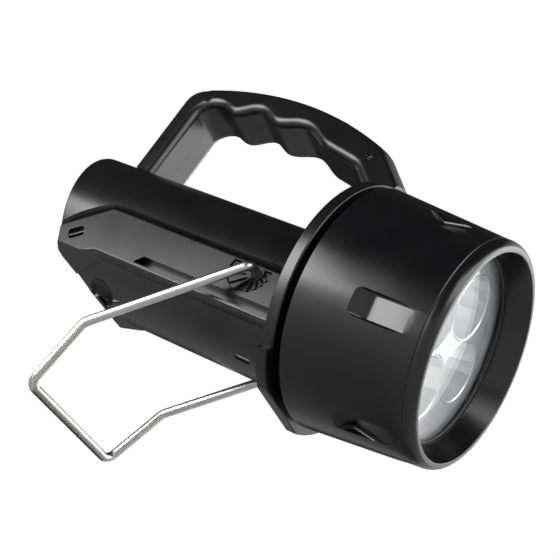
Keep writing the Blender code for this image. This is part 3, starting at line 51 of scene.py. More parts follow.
# Steps that make round forms smooth
turned_sides = 144
disc_sides = 72
ball_sides = 48
boss_sides = 40
wire_sides = 32
recess_sides = 32
rod_sides = 24
bead_sides = 12
round_steps = 5
foot_steps = round_steps * 2
edge_steps = 8
lip_steps = 14
lip_inner_steps = 4
notch_steps = 24
slot_steps = 6
pocket_steps = 40
bend_steps = 12
corner_steps = 14
nose_steps = 10
throat_steps = 12
dish_steps = 6
dome_steps = 10

# Head cap
head_back_radius = 52.0 * mm
head_front_radius = 46.9 * mm
head_cone_length = 54.2 * mm
head_edge_round = 0.8 * mm
lip_length = 3.0 * mm
lip_outer_radius = 44.5 * mm
lip_reach = 4.8 * mm
lip_inner_radius = 42.9 * mm
lip_inner_round = 0.5 * mm
lip_groove_width = 0.6 * mm
lip_groove_depth = 0.3 * mm
window_radius = 39.5 * mm
seat_x = 46.8 * mm
chamber_radius = 41.9 * mm
cap_bore = 44.7 * mm
thread_depth = 18.0 * mm
fillet = 0.6 * mm
notch_count = 6
notch_turn = math.radians(109.0)
notch_start = 22.4 * mm
notch_deepest = 29.8 * mm
notch_end = 48.5 * mm
notch_width = 11.4 * mm
notch_depth = 3.6 * mm
notch_round = 1.4 * mm
notch_fall_power = 1.3
notch_rise_power = 1.35
head_soft_edge = 0.45 * mm

# Lens stack
lens_radius = 41.6 * mm
lens_chamfer = 0.4 * mm
gasket_back = 45.2 * mm
gasket_front = 46.5 * mm
gasket_bore = 38.5 * mm
seal_chamfer = 0.3 * mm
lens_back = 41.7 * mm
lens_front = 44.9 * mm
plate_back = 39.8 * mm
plate_front = 41.4 * mm
cup_count = 4
cup_radius = 13.4 * mm
cup_centre = 19.2 * mm
cup_reach = cup_centre + cup_radius
cup_throat_radius = 3.8 * mm
cup_wall = 1.0 * mm
cup_facets = 16
cup_rings = 4
cup_bead = 0.35 * mm
rim_step = 0.4 * mm
rim_inner = 0.5 * mm
rim_outer = 1.0 * mm
rim_radius = cup_reach + 0.6 * mm
throat_x = 15.1 * mm

# LEDs
board_front = 14.0 * mm
led_side = 5.0 * mm
led_height = 0.8 * mm
led_round = 0.25 * mm
dome_radius = 2.1 * mm
dome_play = 0.02 * mm

# Body
body_radius = 33.5 * mm
body_drop = 10.2 * mm
cavity_radius = 29.6 * mm
cavity_rear = -113.5 * mm
body_rear_top = -145.6 * mm
body_corner_x = -130.0 * mm
body_corner_z = -34.3 * mm
body_chamfer_end_x = -110.0 * mm
body_chamfer_end_z = -43.5 * mm
body_rear_round = 0.9 * mm
body_soft_edge = 0.4 * mm
flange_rear = -8.1 * mm
flange_radius = 46.0 * mm
neck_radius = 44.4 * mm
neck_bore = 40.2 * mm
neck_length = 17.0 * mm
shelf_x = -1.5 * mm
ring_back = 12.45 * mm
ring_ahead = 14.55 * mm
ring_floor = 42.9 * mm

# Collar
collar_front = -2.8 * mm
collar_radius = 52.3 * mm
collar_foot_radius = 56.0 * mm
collar_flat_drop = 52.9 * mm
collar_foot_reach = math.radians(39.0)
collar_round = 0.7 * mm

# Side panels
panel_plane = 33.9 * mm
panel_seat = 31.6 * mm
panel_top = -11.3 * mm
panel_bottom = -32.4 * mm
panel_peak_x = -108.5 * mm
panel_rear_x = -128.2 * mm
panel_rear_top_z = -27.8 * mm
panel_low_peak_x = -103.4 * mm
panel_heel_x = -122.3 * mm
panel_heel_z = -38.0 * mm
panel_toe_x = -119.0 * mm
panel_toe_z = -39.8 * mm
panel_reach = 42.0 * mm
panel_round = 0.8 * mm
panel_corner = 1.0 * mm
panel_root = cavity_radius * 0.5
panel_soft_edge = 0.35 * mm
groove_width = 2.8 * mm
groove_floor = 30.1 * mm
groove_rear_floor = 26.0 * mm
scoop_x = -104.5 * mm
scoop_turn = math.radians(23.0)
scoop_radius = 9.0 * mm
scoop_depth = 3.0 * mm
channel_top = -26.7 * mm
channel_bottom = -30.8 * mm
channel_rear = -79.0 * mm
channel_nose = 3.5 * mm
channel_floor = 29.6 * mm
pocket_radius = 9.8 * mm
pocket_back = 3.2 * mm
pocket_flat = -12.6 * mm
pocket_root = panel_seat * 0.9
strap_slot_x = -117.8 * mm
strap_slot_z = -28.3 * mm
strap_slot_length = 7.4 * mm
strap_slot_width = 5.2 * mm
strap_slot_round = 1.4 * mm
strap_slot_tilt = math.radians(38.0)
strap_slot_depth = 2.2 * mm
strap_bar_radius = 0.7 * mm
strap_bar_half = 4.3 * mm
strap_bar_depth = 1.2 * mm

# Stand and hubs
wire_radius = 2.0 * mm
pivot_x = -27.5 * mm
pivot_z = -15.4 * mm
wire_tip = 30.4 * mm
wire_end_round = 0.3 * mm
rod_end_round = 0.15 * mm
leg_offset = 40.5 * mm
foot_offset = 36.3 * mm
leg_length = 71.0 * mm
foot_length = 31.8 * mm
leg_angle = math.radians(44.3)
foot_kink = math.radians(31.7)
wire_bend = 5.5 * mm
pivot_bend = 2.8 * mm
wire_play = 0.15 * mm
hub_low = 31.9 * mm
hub_thickness = 1.2 * mm
hub_rib_height = 0.9 * mm
hub_rib_width = 1.15 * mm
hub_rib_count = 7
hub_boss_radius = 3.6 * mm
hub_boss_height = 1.6 * mm
hub_rib_start = hub_boss_radius * 0.9
hub_round = 0.3 * mm
hub_soft_edge = 0.15 * mm

# Rear foot, lanyard eye, front pins
foot_front = -93.5 * mm
foot_low_x = -100.0 * mm
foot_back_x = -106.5 * mm
foot_rear = -113.2 * mm
foot_drop = 44.5 * mm
foot_root = 41.9 * mm
foot_half = 11.5 * mm
foot_round = 0.8 * mm
foot_corner = 1.0 * mm
eye_x = -106.5 * mm
eye_half_width = 8.0 * mm
eye_length = 8.0 * mm
eye_floor = 40.9 * mm
eye_bar_drop = 43.4 * mm
eye_bar_half = 11.8 * mm
eye_bar_radius = 1.0 * mm
front_eye_x = -26.2 * mm
front_eye_turn = math.radians(17.0)
front_eye_length = 8.0 * mm
front_eye_width = 3.0 * mm
front_eye_depth = 3.1 * mm
front_eye_flat = 0.1 * mm
front_pin_radius = 1.1 * mm
front_pin_half = 4.5 * mm
front_pin_depth = 1.7 * mm

# Handle
handle_half_width = 13.5 * mm
handle_peak_x = -79.0 * mm
handle_peak_z = 83.0 * mm
handle_top_radius = 143.0 * mm
handle_crown = 3.2 * mm
crown_round = 1.0 * mm
handle_wall = 2.4 * mm
handle_foot_z = 14.0 * mm
handle_floor_z = 28.0 * mm
handle_rear_x = -135.4 * mm
handle_rear_corner = 12.0 * mm
handle_nose_x = -23.7 * mm
handle_nose_tilt = math.radians(42.4)
handle_nose_round = 9.0 * mm
handle_rear_leg = -123.0 * mm
handle_front_leg = -21.5 * mm
front_leg_bend_z = 47.5 * mm
front_throat_x = -32.5 * mm
front_throat_z = 57.8 * mm
front_ridge_x = -50.5 * mm
front_round = 11.0 * mm
grip_depth = 13.9 * mm
grip_swell = 2.2 * mm
grip_wave = 2.1 * mm
grip_waves = 2.5
grip_pitch = 23.3 * mm
grip_ridge_x = -57.8 * mm
grip_rear_x = grip_ridge_x - grip_waves * grip_pitch
grip_round = 4.0 * mm
grip_points = 60
crown_steps = 40
handle_stations = 10
throat_round = 8.5 * mm
seam_half = 0.04 * mm
handle_soft_edge = 0.2 * mm
straight_limit = 0.0005
screw_spots = [(-121.4 * mm, 67.27 * mm), (-28.1 * mm, 63.58 * mm)]
screw_recess = 1.6 * mm
screw_depth = 3.0 * mm
screw_head = 1.4 * mm
screw_head_radius = 1.45 * mm
screw_shaft = 0.9 * mm
screw_reach = 8.0 * mm
screw_cross = 0.35 * mm
screw_arm = screw_head_radius * 0.7
screw_cross_floor = screw_head * 0.45
screw_chamfer = 0.2 * mm
screw_boss_radius = 2.4 * mm
lug_neck = 3.5 * mm
lug_head = 7.0 * mm
lug_height = 4.0 * mm
lug_sink = 1.95 * mm
lug_play = 1.2 * mm
lug_room = 3.4 * mm

# Switch
switch_x = -52.0 * mm
bezel_radius = 7.2 * mm
bezel_wall = 1.1 * mm
bezel_top = -0.5 * mm
bezel_lip = 1.2 * mm
bezel_lip_height = 1.1 * mm
bezel_bottom = -3.9 * mm
bezel_chamfer = 0.4 * mm
button_top = 0.3 * mm
button_flange = 0.8 * mm
button_lip = 0.8 * mm
button_dish = 0.5 * mm
button_round = 0.8 * mm

# The photograph's camera, in the lamp's axes
camera_place = Vector((226.0, -395.85, -167.4)) * mm
camera_right = Vector((0.7913, 0.3061, 0.5293))
camera_down = Vector((0.3132, 0.5405, -0.7809))
camera_away = Vector((-0.5251, 0.7837, 0.3318))
camera_lens = 76.3
camera_sensor = 36.0
camera_clip = 0.01

# Finishes: the middle of the noise, patches as scale and detail, and the clear parts
noise_low = 0.3
noise_high = 0.7
plastic_patches = (60.0, 3.0)
metal_patches = (180.0, 4.0)
smear_patches = (90.0, 3.0)
smear_depth = 0.03
clear_index = 1.49

# Studio
studio_middle = Vector((0.0, 0.0, 0.09))
floor_size = 3.0
floor_colour = (0.60, 0.60, 0.60)
floor_roughness = 0.6
floor_glow = (0.88, 0.88, 0.88)
floor_glow_share = 0.6
backdrop_turn = 60.0
backdrop_lift = 14.0
backdrop_fades = 0.66
backdrop_full = 0.9
backdrop_strength = 1.0
room_strength = 0.03

# The lamp's axes: X along the beam from the head's back edge, Y to the left, Z up through the handle
turn_joint = next(joint for joint in frame["joints"] if joint["name"] == "head_turn")
lamp_lean = math.asin(-turn_joint["axis"][2])
lamp_axes = Matrix.Translation(turn_joint["pos_m"]) @ Matrix.Rotation(lamp_lean, 4, "Y")
handle_centre_z = handle_peak_z - handle_top_radius


def placed(name, data):
    """New object in the scene for a mesh, a camera or a light."""
    item = bpy.data.objects.new(name, data)
    bpy.context.scene.collection.objects.link(item)
    return item


def linked(name, mesh_data):
    """New object from a bmesh, still in the lamp's axes."""
    bmesh.ops.remove_doubles(mesh_data, verts=mesh_data.verts, dist=weld_distance)
    bmesh.ops.recalc_face_normals(mesh_data, faces=mesh_data.faces)
    mesh = bpy.data.meshes.new(name)
    mesh_data.to_mesh(mesh)
    mesh_data.free()
    return placed(name, mesh)


def evaluated_mesh(piece):
    """The shape of an object with its modifiers worked out."""
    bpy.context.view_layer.update()
    graph = bpy.context.evaluated_depsgraph_get()
    return bpy.data.meshes.new_from_object(piece.evaluated_get(graph), depsgraph=graph)


def plain_mesh(piece):
    """Keeps the shape as a mesh of its own and removes the object."""
    mesh = evaluated_mesh(piece)
    bpy.data.objects.remove(piece)
    return mesh


def cut(piece, forms, operation="DIFFERENCE"):
    """Booleans a list of forms into the piece, one after another."""
    cutters = []
    for form in forms:
        cutter = form if isinstance(form, bpy.types.Object) else linked(piece.name + "_form", form)
        modifier = piece.modifiers.new("form", "BOOLEAN")
        modifier.operation = operation
        modifier.solver = "MANIFOLD"
        modifier.object = cutter
        cutters.append(cutter)
    mesh = evaluated_mesh(piece)
    piece.modifiers.clear()
    piece.data = mesh
    for cutter in cutters:
        bpy.data.objects.remove(cutter)
    return piece


def soften(piece, width, steps=2, angle=30.0):
    """Rounds the sharp edges that the cuts leave."""
    modifier = piece.modifiers.new("soft_edges", "BEVEL")
    modifier.width = width
    modifier.segments = steps
    modifier.limit_method = "ANGLE"
    modifier.angle_limit = math.radians(angle)
    modifier.use_clamp_overlap = True
    modifier.harden_normals = False
    return piece


def finish(piece, material, body, nodes=(), smooth=30.0):
    """Makes the piece a plain smooth mesh in the row frame, hangs it on its body's empty, and hides the CAD
    parts that it takes the place of.
    """
    name = piece.name
    mesh = plain_mesh(piece)
    mesh.transform(lamp_axes)
    mesh.materials.clear()
    mesh.materials.append(material)
    mesh.shade_smooth()
    mesh.set_sharp_from_angle(angle=math.radians(smooth))
    shaded = placed(name, mesh)
    weighted = shaded.modifiers.new("weighted", "WEIGHTED_NORMAL")
    weighted.keep_sharp = True
    mesh = plain_mesh(shaded)
    mesh.name = name
    done = placed(name, mesh)
    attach(done, body)
    if nodes:
        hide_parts(*nodes)
    return done


def bridge(mesh_data, rings, closed=True, capped=True):
    """Faces between neighbouring rings of vertices. An open row of rings gets end faces."""
    count = len(rings[0])
    pairs = list(zip(rings, rings[1:]))
    if closed:
        pairs.append((rings[-1], rings[0]))
    for first, second in pairs:
        for index in range(count):
            after = (index + 1) % count
            corners = [first[index], first[after], second[after], second[index]]
            if second[index] is second[after]:
                corners = corners[:3]
            mesh_data.faces.new(corners)
    if not closed:
        mesh_data.faces.new(rings[0])
    if not closed and capped:
        mesh_data.faces.new(rings[-1])


def lathe(outline, sides, centre_y=0.0, centre_z=0.0):
    """Turns an outline of (x, radius) points about an axis along X. One that starts on the axis is solid."""
    mesh_data = bmesh.new()
    solid = outline[0][1] == 0.0
    domed = outline[-1][0] != outline[-2][0]
    rings = []
    for x, radius in (outline[1:-1] if solid else outline):
        ring = []
        for index in range(sides):
            angle = math.tau * index / sides
            y = centre_y + radius * math.sin(angle)
            z = centre_z + radius * math.cos(angle)
            ring.append(mesh_data.verts.new((x, y, z)))
        rings.append(ring)
    if solid and domed:
        rings.append([mesh_data.verts.new((outline[-1][0], centre_y, centre_z))] * sides)
    bridge(mesh_data, rings, closed=not solid, capped=not domed)
    return mesh_data


def body_cylinder(radius):
    """Long cylinder about the body's axis."""
    rear = body_rear_top - overrun
    outline = [(rear, 0.0), (rear, radius), (overrun, radius), (overrun, 0.0)]
    return lathe(outline, turned_sides, 0.0, -body_drop)


def arc_points(centre, radius, start, stop, steps):
    """Points along an arc, with both of its ends."""
    points = []
    for index in range(steps + 1):
        angle = start + (stop - start) * index / steps
        points.append((centre[0] + radius * math.cos(angle), centre[1] + radius * math.sin(angle)))
    return points


def circle(centre, radius, sides=rod_sides):
    """Points of a closed ring."""
    return arc_points(centre, radius, 0.0, math.tau, sides)[:-1]


def round_corner(before, corner, after, radius, steps):
    """Points of the arc that takes the corner off a path."""
    before, corner, after = Vector(before), Vector(corner), Vector(after)
    first = (before - corner).normalized()
    second = (after - corner).normalized()
    half = first.angle(second) / 2.0
    reach = radius / math.tan(half)
    centre = corner + (first + second).normalized() * radius / math.sin(half)
    start = corner + first * reach - centre
    stop = corner + second * reach - centre
    sweep = math.pi - 2.0 * half
    points = []
    for index in range(steps + 1):
        part = sweep * index / steps
        points.append(centre + (start * math.sin(sweep - part) + stop * math.sin(part)) / math.sin(sweep))
    return points


def round_outline(points, radius):
    """Closed outline with every corner rounded."""
    rounded = []
    for index, corner in enumerate(points):
        arc = round_corner(points[index - 1], corner, points[(index + 1) % len(points)], radius, round_steps)
        rounded += [tuple(point) for point in arc]
    return rounded


def bend_path(corners, radii, steps):
    """Path through the corners with each inner one rounded to its own radius."""
    path = [Vector(corners[0])]
    for before, corner, after, radius in zip(corners, corners[1:], corners[2:], radii):
        path += round_corner(before, corner, after, radius, steps)
    path.append(Vector(corners[-1]))
    return path


def prism(points, low, high):
    """Extrudes a closed outline of (x, z) points along Y."""
    mesh_data = bmesh.new()
    rings = [[mesh_data.verts.new((x, level, z)) for x, z in points] for level in (low, high)]
    bridge(mesh_data, rings, closed=False)
    return mesh_data


def block(low, high):
    """Box between two corners."""
    outline = [(low[0], low[2]), (high[0], low[2]), (high[0], high[2]), (low[0], high[2])]
    return prism(outline, low[1], high[1])


def clockwise(points):
    """The same outline in the order that inset works with."""
    total = 0.0
    for index, (x, z) in enumerate(points):
        total += points[index - 1][0] * z - x * points[index - 1][1]
    return points if total < 0.0 else points[::-1]


def inset(points, amounts):
    """Moves each edge of a clockwise outline inwards by its own amount."""
    moved_points = []
    count = len(points)
    for index in range(count):
        here = Vector(points[index])
        before = (here - Vector(points[index - 1])).normalized()
        after = (Vector(points[(index + 1) % count]) - here).normalized()
        first_way = Vector((before.y, -before.x))
        second_way = Vector((after.y, -after.x))
        first, second = amounts[index - 1], amounts[index]
        cross = first_way.x * second_way.y - first_way.y * second_way.x
        if abs(cross) < straight_limit:
            moved_points.append(here + second_way * second)
            continue
        x = (first * second_way.y - second * first_way.y) / cross
        z = (second * first_way.x - first * second_way.x) / cross
        moved_points.append(here + Vector((x, z)))
    return moved_points


def soft_prism(points, low, high, radius, axis="Y", both=True):
    """Prism whose end faces have rounded rims. The low end stays sharp unless both are rounded."""
    mesh_data = bmesh.new()
    points = clockwise(list(points))
    way = 1.0 if high > low else -1.0
    rim = []
    for step in range(1, round_steps + 1):
        angle = quarter_turn * step / round_steps
        rim.append((radius * (1.0 - math.sin(angle)), radius * (1.0 - math.cos(angle))))
    levels = []
    if both:
        levels += [(low + way * depth, amount) for depth, amount in reversed(rim)]
    levels.append((low + way * (radius if both else 0.0), 0.0))
    levels.append((high - way * radius, 0.0))
    levels += [(high - way * depth, amount) for depth, amount in rim]
    rings = []
    for level, amount in levels:
        ring = []
        for point in inset(points, [amount] * len(points)):
            place = (point.x, level, point.y) if axis == "Y" else (level, point.x, point.y)
            ring.append(mesh_data.verts.new(place))
        rings.append(ring)
    bridge(mesh_data, rings, closed=False)
    return mesh_data


def tube(path, radius, sides=rod_sides, end_round=0.0):
    """Sweeps a circle along a path, with closed, slightly rounded ends."""
    mesh_data = bmesh.new()
    path = [Vector(point) for point in path]
    stations = [(point, radius) for point in path]
    if end_round:
        first_way = (path[1] - path[0]).normalized()
        last_way = (path[-1] - path[-2]).normalized()
        stations = [(path[0], radius - end_round), (path[0] + first_way * end_round, radius)]
        stations += [(point, radius) for point in path[1:-1]]
        stations += [(path[-1] - last_way * end_round, radius), (path[-1], radius - end_round)]
    rings = []
    side = None
    for index, (point, size) in enumerate(stations):
        ahead = stations[min(index + 1, len(stations) - 1)][0] - stations[max(index - 1, 0)][0]
        ahead.normalize()
        if side is None:
            side = ahead.orthogonal().normalized()
        side = (side - ahead * side.dot(ahead)).normalized()
        up = ahead.cross(side)
        ring = []
        for step in range(sides):
            angle = math.tau * step / sides
            ring.append(mesh_data.verts.new(point + (side * math.cos(angle) + up * math.sin(angle)) * size))
        rings.append(ring)
    bridge(mesh_data, rings, closed=False)
    return mesh_data


def polar(radius, angle):
    """Point of the YZ plane at an angle from straight up, turning towards the lamp's right."""
    return -radius * math.sin(angle), radius * math.cos(angle)


def moved(mesh_data, matrix):
    """The form after a turn or a shift."""
    bmesh.ops.transform(mesh_data, matrix=matrix, verts=mesh_data.verts)
    return mesh_data


def copy_tree(name, sockets):
    """Geometry Nodes tree with a geometry input and the named ones, and its input node."""
    tree = bpy.data.node_groups.new(name, "GeometryNodeTree")
    tree.interface.new_socket("Geometry", in_out="INPUT", socket_type="NodeSocketGeometry")
    for socket, kind in sockets.items():
        tree.interface.new_socket(socket, in_out="INPUT", socket_type=kind)
    tree.interface.new_socket("Geometry", in_out="OUTPUT", socket_type="NodeSocketGeometry")
    return tree, tree.nodes.new("NodeGroupInput")


def end_tree(tree, copies, material):
    """Makes the copies real and gives them their finish."""
    real = tree.nodes.new("GeometryNodeRealizeInstances")
    paint = tree.nodes.new("GeometryNodeSetMaterial")
    end = tree.nodes.new("NodeGroupOutput")
    paint.inputs["Material"].default_value = material
    tree.links.new(copies.outputs[0], real.inputs[0])
    tree.links.new(real.outputs[0], paint.inputs["Geometry"])
    tree.links.new(paint.outputs[0], end.inputs[0])


def run_tree(piece, tree, values, name):
    """Runs the tree on a piece with its named inputs, and keeps what it makes as a plain mesh."""
    modifier = piece.modifiers.new(tree.name, "NODES")
    modifier.node_group = tree
    for socket, value in values.items():
        modifier[tree.interface.items_tree[socket].identifier] = value
    return placed(name, plain_mesh(piece))


# Finishes
def new_material(name, colour, roughness, metallic=0.0):
    """Even finish, with its node tree and shader."""
    material = bpy.data.materials.new(name)
    material.use_nodes = True
    shader = material.node_tree.nodes["Principled BSDF"]
    shader.inputs["Base Color"].default_value = (*colour, 1.0)
    shader.inputs["Roughness"].default_value = roughness
    shader.inputs["Metallic"].default_value = metallic
    return material, material.node_tree, shader


def grain(tree, scale, detail=2.0):
    """Noise that sits still on the piece."""
    place = tree.nodes.new("ShaderNodeTexCoord")
    noise = tree.nodes.new("ShaderNodeTexNoise")
    noise.inputs["Scale"].default_value = scale
    noise.inputs["Detail"].default_value = detail
    tree.links.new(place.outputs["Object"], noise.inputs["Vector"])
    return noise.outputs["Fac"]


def spread(tree, source, low, high):
    """Maps the middle of the noise onto a range of values."""
    ramp = tree.nodes.new("ShaderNodeMapRange")
    ramp.inputs["From Min"].default_value = noise_low
    ramp.inputs["From Max"].default_value = noise_high
    ramp.inputs["To Min"].default_value = low
    ramp.inputs["To Max"].default_value = high
    tree.links.new(source, ramp.inputs["Value"])
    return ramp.outputs["Result"]


def tint(tree, source, first, second):
    """Mixes two colours by a value between 0 and 1."""
    mix = tree.nodes.new("ShaderNodeMix")
    mix.data_type = "RGBA"
    mix.inputs["A"].default_value = (*first, 1.0)
    mix.inputs["B"].default_value = (*second, 1.0)
    tree.links.new(source, mix.inputs["Factor"])
    return mix.outputs["Result"]


def emboss(tree, shader, source, relief, strength):
    """Gives the surface a fine relief."""
    bump = tree.nodes.new("ShaderNodeBump")
    bump.inputs["Strength"].default_value = strength
    bump.inputs["Distance"].default_value = relief
    tree.links.new(source, bump.inputs["Height"])
    tree.links.new(bump.outputs["Normal"], shader.inputs["Normal"])


def mottled(name, colours, gloss, patches, fine, relief, strength, metallic):
    """Soft patches in colour and roughness, under a fine grain in the surface."""
    material, tree, shader = new_material(name, colours[0], gloss[0], metallic)
    patch = grain(tree, *patches)
    tree.links.new(spread(tree, patch, *gloss), shader.inputs["Roughness"])
    tree.links.new(tint(tree, spread(tree, patch, 0.0, 1.0), *colours), shader.inputs["Base Color"])
    emboss(tree, shader, grain(tree, fine), relief, strength)
    return material


def moulded(name, colours, gloss, fine, relief, strength):
    """Plastic, rubber or lacquer."""
    return mottled(name, colours, gloss, plastic_patches, fine, relief, strength, 0.0)


def metal(name, colours, gloss, fine, relief, strength, metallic=1.0):
    """Bare or plated metal."""
    return mottled(name, colours, gloss, metal_patches, fine, relief, strength, metallic)


def clear_glass(name, colour, roughness):
    """Clear plastic or glass with faint smears."""
    material, tree, shader = new_material(name, colour, roughness)
    shader.inputs["Transmission Weight"].default_value = 1.0
    shader.inputs["IOR"].default_value = clear_index
    smears = spread(tree, grain(tree, *smear_patches), roughness, roughness + smear_depth)
    tree.links.new(smears, shader.inputs["Roughness"])
    return material


case_black = moulded("case_black", [(0.003, 0.003, 0.0035), (0.005, 0.005, 0.0055)], (0.27, 0.32),
                     fine=2600.0, relief=0.02 * mm, strength=0.1)
head_black = moulded("head_black", [(0.0025, 0.0025, 0.003), (0.004, 0.004, 0.0045)], (0.22, 0.26),
                     fine=2600.0, relief=0.02 * mm, strength=0.06)
soft_black = moulded("soft_black", [(0.008, 0.008, 0.009), (0.012, 0.012, 0.013)], (0.5, 0.62),
                     fine=1800.0, relief=0.05 * mm, strength=0.25)
hub_black = moulded("hub_black", [(0.003, 0.003, 0.003), (0.005, 0.005, 0.005)], (0.24, 0.32),
                    fine=2600.0, relief=0.02 * mm, strength=0.1)
bright_wire = metal("bright_wire", [(0.64, 0.63, 0.60), (0.57, 0.56, 0.54)], (0.28, 0.34),
                    fine=500.0, relief=0.002 * mm, strength=0.03)
dark_pin = metal("dark_pin", [(0.10, 0.10, 0.105), (0.07, 0.07, 0.075)], (0.3, 0.4),
                 fine=900.0, relief=0.004 * mm, strength=0.1)
cup_mirror = metal("cup_mirror", [(0.98, 0.98, 0.98), (0.95, 0.96, 0.96)], (0.14, 0.22),
                   fine=900.0, relief=0.05 * mm, strength=0.1, metallic=0.6)
frosted_rim = metal("frosted_rim", [(0.70, 0.71, 0.71), (0.50, 0.51, 0.51)], (0.4, 0.55),
                    fine=1500.0, relief=0.08 * mm, strength=0.6, metallic=0.3)
cast_metal = metal("cast_metal", [(0.62, 0.62, 0.63), (0.52, 0.52, 0.54)], (0.35, 0.5),
                   fine=1200.0, relief=0.05 * mm, strength=0.3)
zinc_steel = metal("zinc_steel", [(0.6, 0.6, 0.62), (0.5, 0.5, 0.52)], (0.25, 0.35),
                   fine=1500.0, relief=0.02 * mm, strength=0.1)
contact_brass = metal("contact_brass", [(0.7, 0.48, 0.18), (0.6, 0.4, 0.14)], (0.25, 0.35),
                      fine=1500.0, relief=0.02 * mm, strength=0.1)
jacket_film = metal("jacket_film", [(0.34, 0.35, 0.37), (0.28, 0.29, 0.31)], (0.3, 0.4),
                    fine=900.0, relief=0.02 * mm, strength=0.1)
board_green = moulded("board_green", [(0.02, 0.15, 0.06), (0.03, 0.19, 0.08)], (0.35, 0.45),
                      fine=1500.0, relief=0.02 * mm, strength=0.2)
board_white = moulded("board_white", [(0.8, 0.8, 0.78), (0.74, 0.74, 0.72)], (0.4, 0.5),
                      fine=1500.0, relief=0.02 * mm, strength=0.2)
phosphor = moulded("phosphor", [(0.9, 0.74, 0.2), (0.84, 0.66, 0.14)], (0.3, 0.4),
                   fine=1500.0, relief=0.02 * mm, strength=0.2)
lead_red = moulded("lead_red", [(0.45, 0.02, 0.02), (0.38, 0.015, 0.015)], (0.45, 0.55),
                   fine=1500.0, relief=0.02 * mm, strength=0.2)
lens_clear = clear_glass("lens_clear", (0.97, 0.99, 0.99), 0.0)
dome_clear = clear_glass("dome_clear", (0.98, 0.97, 0.88), 0.02)


# Head cap
def cone_at(x):
    """Radius of the head's tapering side."""
    return head_back_radius + (head_front_radius - head_back_radius) * x / head_cone_length


def make_head_cap():
    """Tapering head with its lip, the window's opening and the bore for the neck."""
    lip_front = head_cone_length + lip_length
    round_back = lip_front - lip_reach
    groove_back = round_back - lip_groove_width
    groove_radius = cone_at(groove_back)
    lip_round = groove_radius - lip_outer_radius
    edge_centre = (head_edge_round, cone_at(head_edge_round) - head_edge_round)
    inner_centre = (lip_front - lip_inner_round, lip_inner_radius + lip_inner_round)
    outline = [(0.0, cap_bore)]
    outline += arc_points(edge_centre, head_edge_round, math.pi, quarter_turn, edge_steps)
    outline += [(groove_back, groove_radius)]
    outline += [(groove_back + lip_groove_width / 2.0, groove_radius - lip_groove_depth)]
    for step in range(lip_steps + 1):
        angle = quarter_turn * step / lip_steps
        x = round_back + lip_reach * math.sin(angle)
        outline.append((x, lip_outer_radius + lip_round * math.cos(angle)))
    outline += arc_points(inner_centre, lip_inner_round, 0.0, -quarter_turn, lip_inner_steps)
    outline += [(seat_x + fillet, window_radius), (seat_x, window_radius)]
    outline += [(seat_x, chamber_radius), (thread_depth, chamber_radius), (thread_depth, cap_bore)]
    return linked("head_shell", lathe(outline, turned_sides))


def notch_form():
    """One grip notch: its floor falls quickly to the deepest point and runs out towards the front."""
    length = notch_end - notch_start
    deepest = (notch_deepest - notch_start) / length
    side = [(notch_start - gap, head_back_radius + overrun), (notch_start - gap, cone_at(notch_start))]
    for step in range(notch_steps + 1):
        share = step / notch_steps
        x = notch_start + length * share
        if share < deepest:
            depth = math.sin(quarter_turn * share / deepest) ** notch_fall_power
        else:
            depth = ((1.0 - share) / (1.0 - deepest)) ** notch_rise_power
        side.append((x, cone_at(x) - notch_depth * depth))
    side += [(notch_end + gap, cone_at(notch_end)), (notch_end + gap, head_back_radius + overrun)]
    return soft_prism(side, -notch_width / 2.0, notch_width / 2.0, notch_round)


def notch_ring():
    """Geometry Nodes: copies of the notch form about the beam's axis."""
    tree, begin = copy_tree("notch_ring", {"Count": "NodeSocketInt", "First turn": "NodeSocketFloat"})
    points = tree.nodes.new("GeometryNodePoints")
    number = tree.nodes.new("GeometryNodeInputIndex")
    step = tree.nodes.new("ShaderNodeMath")
    step.operation = "DIVIDE"
    step.inputs[0].default_value = math.tau
    turn = tree.nodes.new("ShaderNodeMath")
    turn.operation = "MULTIPLY_ADD"
    angles = tree.nodes.new("ShaderNodeCombineXYZ")
    copies = tree.nodes.new("GeometryNodeInstanceOnPoints")
    tree.links.new(begin.outputs["Count"], step.inputs[1])
    tree.links.new(number.outputs[0], turn.inputs[0])
    tree.links.new(step.outputs[0], turn.inputs[1])
    tree.links.new(begin.outputs["First turn"], turn.inputs[2])
    tree.links.new(turn.outputs[0], angles.inputs["X"])
    tree.links.new(begin.outputs["Count"], points.inputs["Count"])
    tree.links.new(points.outputs[0], copies.inputs["Points"])
    tree.links.new(begin.outputs["Geometry"], copies.inputs["Instance"])
    tree.links.new(angles.outputs[0], copies.inputs["Rotation"])
    end_tree(tree, copies, head_black)
    seed = linked("notch_seed", notch_form())
    return run_tree(seed, tree, {"Count": notch_count, "First turn": notch_turn}, "notch_forms")


head = cut(make_head_cap(), [notch_ring()])
soften(head, head_soft_edge, steps=3, angle=20.0)
finish(head, head_black, "head", ["head_cap"])


# Collar
def collar_outline():
    """Ring with a lower, wider foot that is cut off flat."""
    half_flat = math.sqrt(collar_foot_radius ** 2 - collar_flat_drop ** 2)
    foot_stop = math.asin(half_flat / collar_foot_radius)
    sweep = math.pi - collar_foot_reach
    outline = []
    for index in range(turned_sides + 1):
        angle = -sweep + 2.0 * sweep * index / turned_sides
        outline.append((collar_radius * math.sin(angle), collar_radius * math.cos(angle)))
    foot_sides = [(collar_foot_radius, collar_foot_reach, foot_stop)]
    foot_sides.append((-collar_foot_radius, foot_stop, collar_foot_reach))
    for radius, start, stop in foot_sides:
        for index in range(foot_steps + 1):
            angle = start + (stop - start) * index / foot_steps
            outline.append((radius * math.sin(angle), -collar_foot_radius * math.cos(angle)))
    return outline


